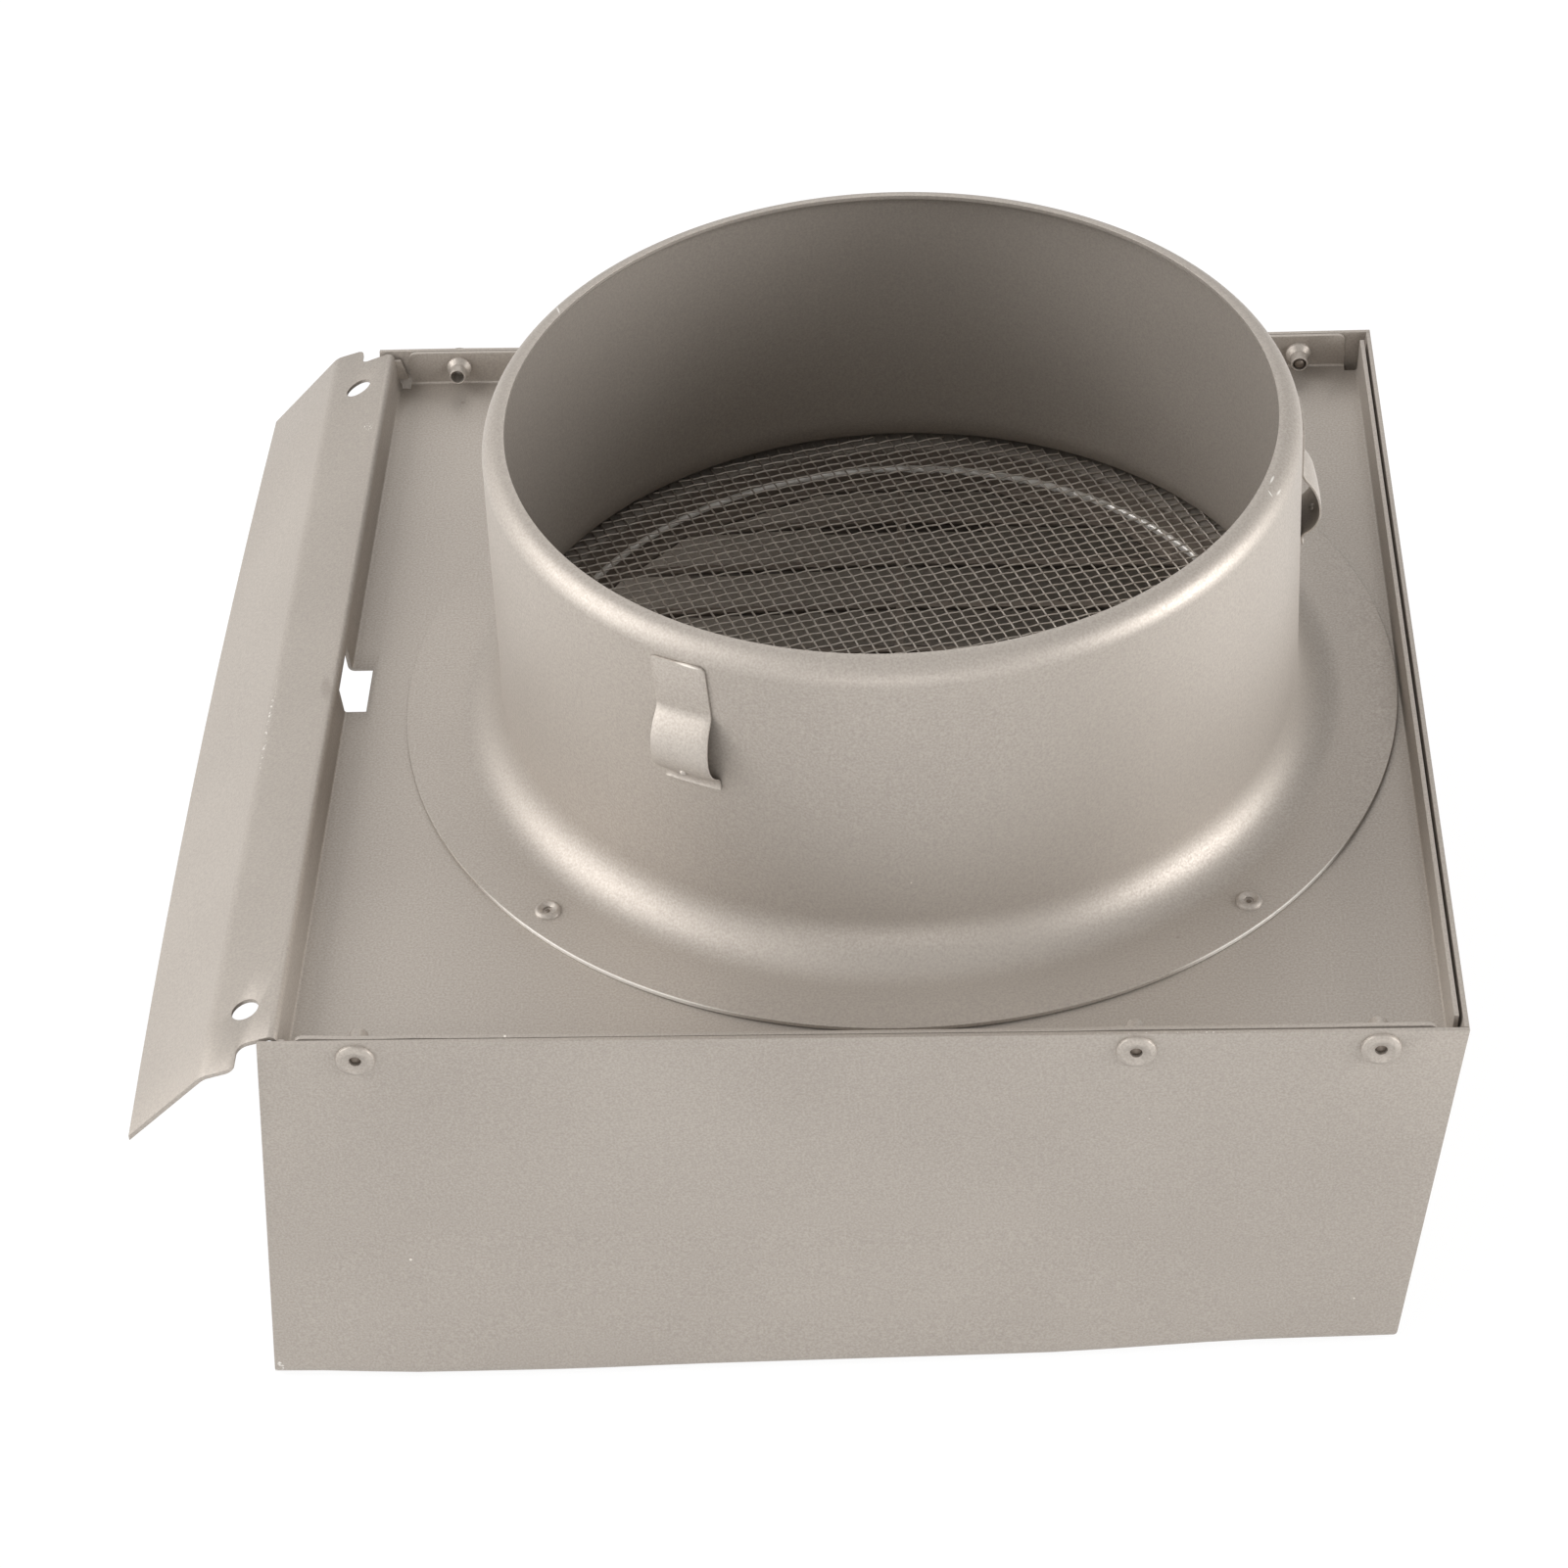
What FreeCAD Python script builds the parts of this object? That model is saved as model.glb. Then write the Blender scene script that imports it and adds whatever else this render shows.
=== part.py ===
import FreeCAD, Part
import math
import os
import re
import Sketcher

# Wall vent cap: a square hood of folded sheet with a round duct collar.
# It lies on its front panel, collar up. Millimetres.
# The origin is on the duct's axis, in the plane of the wall.
# +Z runs out through the collar into the wall. -X is the hood's open mouth.
# +X is the closed end, which is the top once the cap is fixed on a wall.

SIZES = {
    # sheet metal: thickness, inside radius of its folds, space between layers
    "gauge": 0.8,
    "fold_inside": 0.5,
    "layer_gap": 0.2,
    # hood cover: width over the sides, reach along X, depth from the wall
    "cover_width": 204.0,
    "mouth_reach": 109.0,
    "mouth_lean": 8.0,
    "top_reach": 96.6,
    "top_lean": 8.1,
    "mouth_depth": 87.0,
    "top_depth": 79.0,
    "cover_bend": 3.0,
    "seam_gap": 0.15,
    "tab_width": 12.0,
    "tab_start": 3.0,
    "tab_end": 8.0,
    "tab_slope": 5.0,
    # back plate: how far it lies below the wall plane, flanges and reliefs
    "plate_drop": 7.5,
    "flange_start": 6.1,
    "flange_end": 5.1,
    "flange_corner": 1.5,
    "end_flange_gap": 0.15,
    "end_flange_lean": 0.33,
    "relief_depth": 2.6,
    "relief_width": 2.1,
    # fixing strip and drip flap along the mouth, with soft bends above and below
    "strip_width": 12.8,
    "strip_tilt": 18.0,
    "riser_inset": 3.1,
    "riser_lean": 0.6,
    "riser_bend": 1.3,
    "strip_over": 4.0,
    "riser_end_gap": 0.9,
    "notch_place": 5.9,
    "notch_corner": 1.8,
    "strip_corner": 1.4,
    "flap_run": 14.9,
    "flap_fall": 19.0,
    "flap_taper": 1.0,
    "flap_bend": 5.0,
    "flap_bow": 2.3,
    "screw_spacing": 183.4,
    "screw_radius": 2.45,
    "screw_edge": 6.2,
    "corner_tab_reach": 2.6,
    "corner_tab_fall": 5.8,
    # drain notch at the foot of the riser
    "drain_width": 13.2,
    "drain_offset": 1.4,
    "drain_reach": 4.1,
    "drain_head": 2.0,
    # duct collar
    "duct_radius": 73.5,
    "collar_height": 57.0,
    "rim_roll": 4.3,
    "collar_taper": 1.1,
    "flare_radius": 9.0,
    "flange_reach": 19.9,
    "plate_hole_gap": 1.0,
    # leaf springs on the collar
    "spring_count": 3,
    "spring_angle": 2.0,
    "spring_width": 10.8,
    "spring_gauge": 0.4,
    "spring_drop": 4.6,
    "spring_seat": 7.4,
    "spring_bulge": 4.1,
    "spring_rise": 12.0,
    "spring_return": 6.6,
    "spring_shoulder": 5.0,
    "spring_heel": 2.2,
    "spring_lip": 40.0,
    "spring_corner": 1.2,
    "spring_air": 0.02,
    # insect screen: one wall with ridges both ways and some of its gaps
    "screen_thickness": 0.8,
    "screen_air": 0.2,
    "ridge_height": 0.25,
    "ridge_width": 0.75,
    "weft_pitch": 2.43,
    "weft_angle": -66.2,
    "warp_pitch": 2.14,
    "warp_angle": 16.4,
    "gap_every": 5,
    "gap_margin": 6.0,
    # louvre plate: a dish with rows of slats
    "dish_gap": 0.3,
    "dish_depth": 3.2,
    "dish_flange_short": 0.7,
    "louvre_pitch": 13.8,
    "louvre_bar": 2.6,
    "louvre_offset": 2.0,
    "louvre_clear": 2.5,
    "louvre_rib": 3.0,
    "louvre_margin": 3.2,
    "slat_length": 11.0,
    "slat_angle": 45.0,
    "slat_kerf": 0.3,
    # blind rivets: four through the collar's flange, six through the cover
    "rivet_air": 0.05,
    "flange_rivet_count": 4,
    "flange_rivet_edge": 5.3,
    "flange_rivet_head": 2.5,
    "flange_rivet_dome": 0.85,
    "flange_rivet_shank": 1.6,
    "flange_rivet_bore": 0.85,
    "flange_rivet_bulb": 2.2,
    "flange_rivet_tail": 3.6,
    "side_rivet_head": 3.5,
    "side_rivet_dome": 1.1,
    "side_rivet_shank": 1.95,
    "side_rivet_bore": 1.05,
    "side_rivet_bulb": 2.55,
    "side_rivet_tail": 5.0,
    "side_rivet_depth": 4.0,
    "side_rivet_first": 10.5,
    "side_rivet_middle": 50.6,
    "side_rivet_last": 9.5,
}

doc = FreeCAD.newDocument("wall_vent_cap")
sheet = doc.addObject("Spreadsheet::Sheet", "Sizes")
for row, (alias, value) in enumerate(SIZES.items(), start=1):
    sheet.set("A%d" % row, alias)
    sheet.set("B%d" % row, str(value))
    sheet.setAlias("B%d" % row, alias)
doc.recompute()


def cells(text):
    """Put the sheet's name before each alias in an expression."""
    return re.sub(r"[a-z_]+", lambda word: ("Sizes." if word[0] in SIZES else "") + word[0], text)


def value_of(text):
    """The number that an expression on the sheet gives."""
    result = sheet.evalExpression(cells(text))
    return float(getattr(result, "Value", result))


def bind(thing, prop, text):
    """Tie a property of an object to the sheet."""
    thing.setExpression(prop, cells(text))


def new_body(label):
    body = doc.addObject("PartDesign::Body", label)
    body.Label = label
    return body


def origin_part(body, role):
    return [item for item in body.Origin.OriginFeatures if item.Role == role][0]


def new_sketch(body, name, plane, height=None):
    """A sketch on one of the body's own origin planes, or set off from it."""
    sketch = body.newObject("Sketcher::SketchObject", name)
    sketch.AttachmentSupport = [(origin_part(body, plane), "")]
    sketch.MapMode = "FlatFace"
    if height is not None:
        bind(sketch, "AttachmentOffset.Base.z", height)
    return sketch


def tie(sketch, constraint, text):
    """Add a dimension to a sketch and bind it to the sheet."""
    index = sketch.addConstraint(constraint)
    bind(sketch, "Constraints[%d]" % index, text)


def hold_point(sketch, curve, end, x_text, y_text):
    """Hold a point of a sketch at its two distances from the sketch's origin."""
    x_value = value_of(x_text)
    y_value = value_of(y_text)
    tie(sketch, Sketcher.Constraint("DistanceX", -1, 1, curve, end, x_value), x_text)
    tie(sketch, Sketcher.Constraint("DistanceY", -1, 1, curve, end, y_value), y_text)


def arc_between(start, end, radius, side):
    """The short arc from start to end. Side 1 has its centre on the left."""
    chord = end - start
    across = FreeCAD.Vector(-chord.y, chord.x, 0).normalize()
    half = chord.Length / 2
    centre = (start + end) / 2 + across * side * math.sqrt(radius * radius - half * half)
    angles = [math.atan2(spot.y - centre.y, spot.x - centre.x) for spot in (start, end)]
    return Part.ArcOfCircle(Part.Circle(centre, Z_WAY, radius), angles[side < 0], angles[side > 0])


def outline(sketch, points):
    """Draw a closed outline through points, each an x and a y expression.

    A point with a radius and a side as well is reached by an arc, with its
    centre on the left (1) or on the right (-1) of the way there.
    """
    spots = [FreeCAD.Vector(value_of(point[0]), value_of(point[1]), 0) for point in points]
    first = sketch.GeometryCount
    ends = []
    for number, point in enumerate(points):
        start = spots[number - 1]
        end = spots[number]
        if len(point) == 4:
            sketch.addGeometry(arc_between(start, end, value_of(point[2]), point[3]), False)
        else:
            sketch.addGeometry(Part.LineSegment(start, end), False)
        clockwise = len(point) == 4 and point[3] < 0
        ends.append((2, 1) if clockwise else (1, 2))
    for number, point in enumerate(points):
        curve = first + number
        before = number - 1 if number else len(points) - 1
        joint = (first + before, ends[before][1], curve, ends[number][0])
        sketch.addConstraint(Sketcher.Constraint("Coincident", *joint))
        hold_point(sketch, curve, ends[number][1], point[0], point[1])
        if len(point) == 4:
            tie(sketch, Sketcher.Constraint("Radius", curve, value_of(point[2])), point[2])


def circle(sketch, x_text, y_text, radius_text):
    """Draw a circle in a sketch."""
    centre = FreeCAD.Vector(value_of(x_text), value_of(y_text), 0)
    radius = value_of(radius_text)
    curve = sketch.addGeometry(Part.Circle(centre, Z_WAY, radius), False)
    hold_point(sketch, curve, 3, x_text, y_text)
    tie(sketch, Sketcher.Constraint("Radius", curve, radius), radius_text)


def extrude(body, kind, name, sketch, length=None, symmetric=False):
    """A Pad or a Pocket. With no length a Pocket goes right through."""
    feature = body.newObject("PartDesign::" + kind, name)
    feature.Profile = sketch
    if length is None:
        feature.Type = "ThroughAll"
    else:
        bind(feature, "Length", length)
    if symmetric:
        feature.SideType = "Symmetric"
    doc.recompute()
    return feature


def revolve(body, name, sketch, angle=None):
    """A Revolution about the body's Z axis, whole or an angle across the sketch."""
    feature = body.newObject("PartDesign::Revolution", name)
    feature.Profile = sketch
    feature.ReferenceAxis = (origin_part(body, "Z_Axis"), [""])
    if angle is not None:
        bind(feature, "Angle", angle)
        feature.Midplane = True
    doc.recompute()
    return feature


def round_edges(body, name, wanted, radius):
    """Fillet the straight edges whose direction and middle pass a test."""
    base = body.Tip
    names = []
    for number, edge in enumerate(base.Shape.Edges, start=1):
        if edge.Curve.TypeId != "Part::GeomLine":
            continue
        middle = edge.valueAt((edge.FirstParameter + edge.LastParameter) / 2)
        if wanted(edge.tangentAt(edge.FirstParameter), middle):
            names.append("Edge%d" % number)
    fillet = body.newObject("PartDesign::Fillet", name)
    fillet.Base = (base, names)
    bind(fillet, "Radius", radius)
    doc.recompute()
    return fillet


def near(one, other):
    return abs(one - other) < NEAR


NEAR = 0.05
X_WAY = FreeCAD.Vector(1, 0, 0)
Z_WAY = FreeCAD.Vector(0, 0, 1)

# Lines that several pieces share, worked out from the sizes
TOP_SLOPE = "(top_lean / top_depth)"
TOP_INNER = f"(top_reach - gauge * sqrt(1 + {TOP_SLOPE} * {TOP_SLOPE}))"
MOUTH_FRONT = "(mouth_reach + mouth_lean)"
FRONT_SLOPE = f"((mouth_depth - top_depth) / (top_reach - top_lean + {MOUTH_FRONT}))"
FRONT_INNER = f"(mouth_depth - gauge * sqrt(1 + {FRONT_SLOPE} * {FRONT_SLOPE}))"
COVER_INNER = "(cover_width / 2 - gauge)"
FLANGE_FACE = "(cover_width / 2 - gauge - layer_gap)"
FLANGE_FIRST = "(flange_start - mouth_reach)"
FLANGE_LAST = "(top_reach - flange_end)"
PLATE_UNDER = "(0 - plate_drop - gauge)"
FOLD_OUTSIDE = "(fold_inside + gauge)"
RISER_TOP = "(riser_inset - mouth_reach)"
STRIP_FOLD = f"({RISER_TOP} - strip_width)"
PLATE_HOLE = "(duct_radius + collar_taper - gauge + plate_hole_gap)"
COLLAR_FLANGE = "(duct_radius + flange_reach)"
FLANGE_PITCH = f"({COLLAR_FLANGE} - flange_rivet_edge)"
SIDE_GRIP = "(2 * gauge + layer_gap)"
FLANGE_GRIP = "(3 * gauge)"
SIDE_RIVETS = (
    f"({FLANGE_FIRST} + side_rivet_first)",
    f"({FLANGE_LAST} - side_rivet_middle)",
    f"({FLANGE_LAST} - side_rivet_last)",
)


def side_rivet_holes(body):
    """The six rivet holes through both sides of a body."""
    holes = new_sketch(body, "side_rivet_holes", "XZ_Plane")
    for place in SIDE_RIVETS:
        circle(holes, place, "0 - side_rivet_depth", "side_rivet_shank + rivet_air")
    extrude(body, "Pocket", "side_rivet_cut", holes, symmetric=True)


def flange_rivet_holes(body, height):
    """The rivet holes through a ring, sketched at the ring's top face."""
    holes = new_sketch(body, "flange_rivet_holes", "XY_Plane", height)
    for number in range(int(SIZES["flange_rivet_count"])):
        turn = f"(180 deg / flange_rivet_count * {2 * number + 1})"
        circle(
            holes,
            f"{FLANGE_PITCH} * cos{turn}",
            f"{FLANGE_PITCH} * sin{turn}",
            "flange_rivet_shank + rivet_air",
        )
    extrude(body, "Pocket", "flange_rivet_cut", holes)


# Hood cover: front panel, two sides and the top wall, folded from one blank
def make_hood_cover():
    body = new_body("hood_cover")
    outside = new_sketch(body, "outside", "XZ_Plane")
    outline(
        outside,
        [
            ("0 - mouth_reach", "0"),
            ("top_reach", "0"),
            ("top_reach - top_lean", "0 - top_depth"),
            (f"0 - {MOUTH_FRONT}", "0 - mouth_depth"),
        ],
    )
    extrude(body, "Pad", "block", outside, "cover_width", symmetric=True)

    def front_edge(way, middle):
        on_side = near(abs(middle.y), value_of("cover_width / 2")) and middle.z < -value_of("top_depth / 2")
        along_side = on_side and abs(way.x) > 0.9
        at_top = near(middle.x, value_of("top_reach - top_lean")) and abs(way.y) > 0.9
        return along_side or at_top

    round_edges(body, "outside_bends", front_edge, "cover_bend")

    block = body.Tip
    open_faces = []
    for number, face in enumerate(block.Shape.Faces, start=1):
        outwards = face.normalAt(0, 0)
        if outwards.z > 0.9 or outwards.x < -0.9:
            open_faces.append("Face%d" % number)
    shell = body.newObject("PartDesign::Thickness", "shell")
    shell.Base = (block, open_faces)
    shell.Reversed = True
    bind(shell, "Value", "gauge")
    doc.recompute()

    corner_depth = (
        f"(({FRONT_INNER} - {FRONT_SLOPE} * ({TOP_INNER} + {MOUTH_FRONT}))"
        f" / (1 - {FRONT_SLOPE} * {TOP_SLOPE}))"
    )
    seams = new_sketch(body, "seams", "XY_Plane")
    for side in ("", "0 - "):
        outline(
            seams,
            [
                ("top_reach - top_lean - 2 * gauge", f"{side}({COVER_INNER} - seam_gap)"),
                ("top_reach + gauge", f"{side}({COVER_INNER} - seam_gap)"),
                ("top_reach + gauge", f"{side}{COVER_INNER}"),
                ("top_reach - top_lean - 2 * gauge", f"{side}{COVER_INNER}"),
            ],
        )
    extrude(body, "Pocket", "seam_cut", seams, "top_depth - cover_bend")

    tab_top = "(plate_drop + gauge + tab_start)"
    tab_foot = f"({corner_depth} - cover_bend - tab_end)"
    tab = new_sketch(body, "corner_tab", "XZ_Plane", f"{COVER_INNER} - seam_gap - gauge")
    outline(
        tab,
        [
            (f"{TOP_INNER} + gauge / 2 - {TOP_SLOPE} * {tab_top}", f"0 - {tab_top}"),
            (f"{TOP_INNER} + gauge / 2 - {TOP_SLOPE} * {tab_foot}", f"0 - {tab_foot}"),
            (f"{TOP_INNER} - tab_width - {TOP_SLOPE} * {tab_foot}", f"tab_slope - {tab_foot}"),
            (f"{TOP_INNER} - tab_width - {TOP_SLOPE} * {tab_top}", f"0 - {tab_top} - tab_slope"),
        ],
    )
    one_tab = extrude(body, "Pad", "corner_tab_pad", tab, "gauge")
    both = body.newObject("PartDesign::Mirrored", "both_tabs")
    both.Originals = [one_tab]
    both.MirrorPlane = (origin_part(body, "XZ_Plane"), [""])
    body.Tip = both
    doc.recompute()

    side_rivet_holes(body)
    return body


# Back plate: set in from the wall, with flanges, a fixing strip and a drip flap
def make_back_plate():
    body = new_body("back_plate")
    foot = f"({TOP_INNER} - {TOP_SLOPE} * (plate_drop + gauge) - end_flange_gap)"
    flange_slope = "(end_flange_lean / (plate_drop + gauge))"
    flange_across = f"(gauge * sqrt(1 + {flange_slope} * {flange_slope}))"
    tilt = "(strip_tilt * 1 deg)"
    crest = f"(riser_bend * ((1 + sin{tilt}) / cos{tilt} - 1))"
    fold = f"({crest} - strip_width * tan{tilt})"
    riser_slope = f"(riser_lean / (plate_drop + {crest}))"
    riser_across = f"(gauge * sqrt(1 + {riser_slope} * {riser_slope}))"
    flap_slope = f"((flap_fall + {fold}) / flap_run)"
    flap_across = f"(gauge * sqrt(1 + {flap_slope} * {flap_slope}))"
    flap_over = "(flap_run + flap_bow + gauge)"
    under_crest = (
        f"(({riser_across} - {riser_slope} * gauge / cos{tilt}) / (1 + {riser_slope} * tan{tilt}))"
    )
    under_fold = f"(({flap_across} - gauge / cos{tilt}) / ({flap_slope} - tan{tilt}))"
    section = new_sketch(body, "section", "XZ_Plane")
    outline(
        section,
        [
            (f"{foot} + end_flange_lean", "0"),
            (f"{foot} + end_flange_lean - {flange_across}", "0"),
            (f"{foot} + {flange_slope} * gauge - {flange_across}", "0 - plate_drop"),
            (f"{RISER_TOP} + riser_lean", "0 - plate_drop"),
            (RISER_TOP, crest),
            (STRIP_FOLD, fold),
            (f"{STRIP_FOLD} - {flap_over}", f"{fold} - {flap_over} * {flap_slope}"),
            (f"{STRIP_FOLD} - {flap_over}", f"{fold} - {flap_over} * {flap_slope} - {flap_across}"),
            (f"{STRIP_FOLD} + {under_fold}", f"{fold} + {under_fold} * tan{tilt} - gauge / cos{tilt}"),
            (f"{RISER_TOP} - {under_crest}", f"{crest} - {under_crest} * tan{tilt} - gauge / cos{tilt}"),
            (f"{RISER_TOP} - {riser_across} + {riser_slope} * ({crest} + plate_drop + gauge)", PLATE_UNDER),
            (foot, PLATE_UNDER),
        ],
    )
    extrude(body, "Pad", "sheet", section, "cover_width + 2 * strip_over + 2 * gauge", symmetric=True)

    def across_at(x_text):
        return lambda way, middle: abs(way.y) > 0.9 and near(middle.x, value_of(x_text))

    def plate_fold(height):
        return lambda way, middle: abs(way.y) > 0.9 and near(middle.z, value_of(height))

    round_edges(body, "outside_folds", plate_fold(PLATE_UNDER), FOLD_OUTSIDE)
    round_edges(body, "inside_folds", plate_fold("0 - plate_drop"), "fold_inside")
    round_edges(body, "riser_bend", across_at(RISER_TOP), "riser_bend")
    round_edges(body, "riser_bend_under", across_at(f"{RISER_TOP} - {under_crest}"), "riser_bend - gauge")
    round_edges(body, "flap_bend", across_at(STRIP_FOLD), "flap_bend")
    round_edges(body, "flap_bend_under", across_at(f"{STRIP_FOLD} + {under_fold}"), "flap_bend - gauge")

    riser_end = f"({COVER_INNER} - riser_end_gap)"
    relief = f"({FLANGE_FACE} - relief_depth)"
    strip_end = "(cover_width / 2 + strip_over)"
    beyond = "(cover_width / 2 + 2 * strip_over + gauge)"
    flap_edge = f"({STRIP_FOLD} - flap_run)"
    past_flap = f"({STRIP_FOLD} - {flap_over} - gauge)"
    trim = new_sketch(body, "trim", "XY_Plane", crest)
    for side in ("", "0 - "):
        outline(
            trim,
            [
                (f"{STRIP_FOLD} + notch_place", f"{side}{strip_end}"),
                (f"{STRIP_FOLD} + notch_place", f"{side}{riser_end}"),
                (f"{FLANGE_FIRST} - relief_width", f"{side}{riser_end}"),
                (f"{FLANGE_FIRST} - relief_width", f"{side}{relief}"),
                (FLANGE_FIRST, f"{side}{relief}"),
                (FLANGE_FIRST, f"{side}{FLANGE_FACE}"),
                (FLANGE_LAST, f"{side}{FLANGE_FACE}"),
                (FLANGE_LAST, f"{side}{relief}"),
                ("top_reach", f"{side}{relief}"),
                ("top_reach", f"{side}{beyond}"),
                (past_flap, f"{side}{beyond}"),
                (past_flap, f"{side}({strip_end} - flap_taper)"),
                (flap_edge, f"{side}({strip_end} - flap_taper)"),
                (STRIP_FOLD, f"{side}{strip_end}"),
            ],
        )
    extrude(body, "Pocket", "trimmed", trim)

    bow = new_sketch(body, "flap_edge", "XY_Plane")
    half_edge = f"({strip_end} - flap_taper)"
    bow_radius = f"(({half_edge} * {half_edge} + flap_bow * flap_bow) / (2 * flap_bow))"
    outline(
        bow,
        [
            (past_flap, half_edge),
            (past_flap, f"0 - {half_edge}"),
            (flap_edge, f"0 - {half_edge}"),
            (flap_edge, half_edge, bow_radius, -1),
        ],
    )
    extrude(body, "Pocket", "flap_edge_cut", bow)

    flanges = new_sketch(body, "flanges", "YZ_Plane", FLANGE_FIRST)
    for side in ("", "0 - "):
        outline(
            flanges,
            [
                (f"{side}{FLANGE_FACE}", PLATE_UNDER),
                (f"{side}{FLANGE_FACE}", "0"),
                (f"{side}({FLANGE_FACE} - gauge)", "0"),
                (f"{side}({FLANGE_FACE} - gauge)", PLATE_UNDER),
            ],
        )
    extrude(body, "Pad", "flange_pads", flanges, f"{FLANGE_LAST} - {FLANGE_FIRST}")

    def flange_root(way, middle):
        outer = near(abs(middle.y), value_of(FLANGE_FACE)) and near(middle.z, value_of(PLATE_UNDER))
        return abs(way.x) > 0.9 and outer

    def flange_inner_root(way, middle):
        inner = near(abs(middle.y), value_of(f"{FLANGE_FACE} - gauge"))
        return abs(way.x) > 0.9 and inner and near(middle.z, value_of("0 - plate_drop"))

    def flange_tip(way, middle):
        at_end = near(middle.x, value_of(FLANGE_FIRST)) or near(middle.x, value_of(FLANGE_LAST))
        side = near(abs(middle.y), value_of(f"{FLANGE_FACE} - gauge / 2"))
        return abs(way.y) > 0.9 and at_end and side and near(middle.z, 0)

    round_edges(body, "flange_outside_folds", flange_root, FOLD_OUTSIDE)
    round_edges(body, "flange_inside_folds", flange_inner_root, "fold_inside")
    round_edges(body, "flange_tips", flange_tip, "flange_corner")

    def strip_tip(way, middle):
        at_notch = near(middle.x, value_of(f"{STRIP_FOLD} + notch_place"))
        return abs(way.z) > 0.9 and at_notch and near(abs(middle.y), value_of(strip_end))

    def notch_root(way, middle):
        at_notch = near(middle.x, value_of(f"{STRIP_FOLD} + notch_place"))
        return abs(way.z) > 0.9 and at_notch and near(abs(middle.y), value_of(riser_end))

    round_edges(body, "strip_tips", strip_tip, "strip_corner")
    round_edges(body, "notch_roots", notch_root, "notch_corner")

    holes = new_sketch(body, "openings", "XY_Plane", crest)
    for side in ("", "0 - "):
        circle(holes, f"{STRIP_FOLD} + screw_edge", f"{side}screw_spacing / 2", "screw_radius")
    circle(holes, "0", "0", PLATE_HOLE)
    extrude(body, "Pocket", "openings_cut", holes)

    drain = new_sketch(body, "drain", "XY_Plane", "0 - drain_head")
    outline(
        drain,
        [
            (f"{RISER_TOP} - 2 * gauge", "drain_offset - drain_width / 2"),
            (f"{RISER_TOP} + riser_lean + drain_reach", "drain_offset - drain_width / 2"),
            (f"{RISER_TOP} + riser_lean + drain_reach", "drain_offset + drain_width / 2"),
            (f"{RISER_TOP} - 2 * gauge", "drain_offset + drain_width / 2"),
        ],
    )
    extrude(body, "Pocket", "drain_cut", drain)

    riser_middle = f"{RISER_TOP} - gauge / 2"
    ear = new_sketch(body, "riser_ear", "XZ_Plane", f"{riser_end} - gauge")
    outline(
        ear,
        [
            (riser_middle, f"0 - {FOLD_OUTSIDE}"),
            (f"{RISER_TOP} + corner_tab_reach / 2", f"0 - {FOLD_OUTSIDE}"),
            (f"{RISER_TOP} + corner_tab_reach", "0 - corner_tab_fall"),
            (f"{riser_middle} + riser_lean", "0 - corner_tab_fall"),
        ],
    )
    one_ear = extrude(body, "Pad", "riser_ear_pad", ear, "gauge")
    both = body.newObject("PartDesign::Mirrored", "both_ears")
    both.Originals = [one_ear]
    both.MirrorPlane = (origin_part(body, "XZ_Plane"), [""])
    body.Tip = both
    doc.recompute()

    side_rivet_holes(body)
    flange_rivet_holes(body, "0 - plate_drop")
    return body


# Duct collar: spun in one piece, with a rolled rim, a slight taper and a flare
def make_duct_collar():
    body = new_body("duct_collar")
    rim_foot = "(collar_height - rim_roll)"
    rim_end = "(duct_radius - rim_roll)"
    flare_top = "(gauge - plate_drop + flare_radius)"
    flare_end = "(duct_radius + collar_taper + flare_radius)"
    profile = new_sketch(body, "profile", "XZ_Plane")
    outline(
        profile,
        [
            (rim_end, "collar_height"),
            ("duct_radius", rim_foot, "rim_roll", -1),
            ("duct_radius + collar_taper", flare_top),
            (flare_end, "gauge - plate_drop", "flare_radius", 1),
            (COLLAR_FLANGE, "gauge - plate_drop"),
            (COLLAR_FLANGE, "0 - plate_drop"),
            (flare_end, "0 - plate_drop"),
            ("duct_radius + collar_taper - gauge", flare_top, "flare_radius + gauge", -1),
            ("duct_radius - gauge", rim_foot),
            (rim_end, "collar_height - gauge", "rim_roll - gauge", 1),
        ],
    )
    revolve(body, "spun_collar", profile)
    flange_rivet_holes(body, "gauge - plate_drop")
    return body


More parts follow.
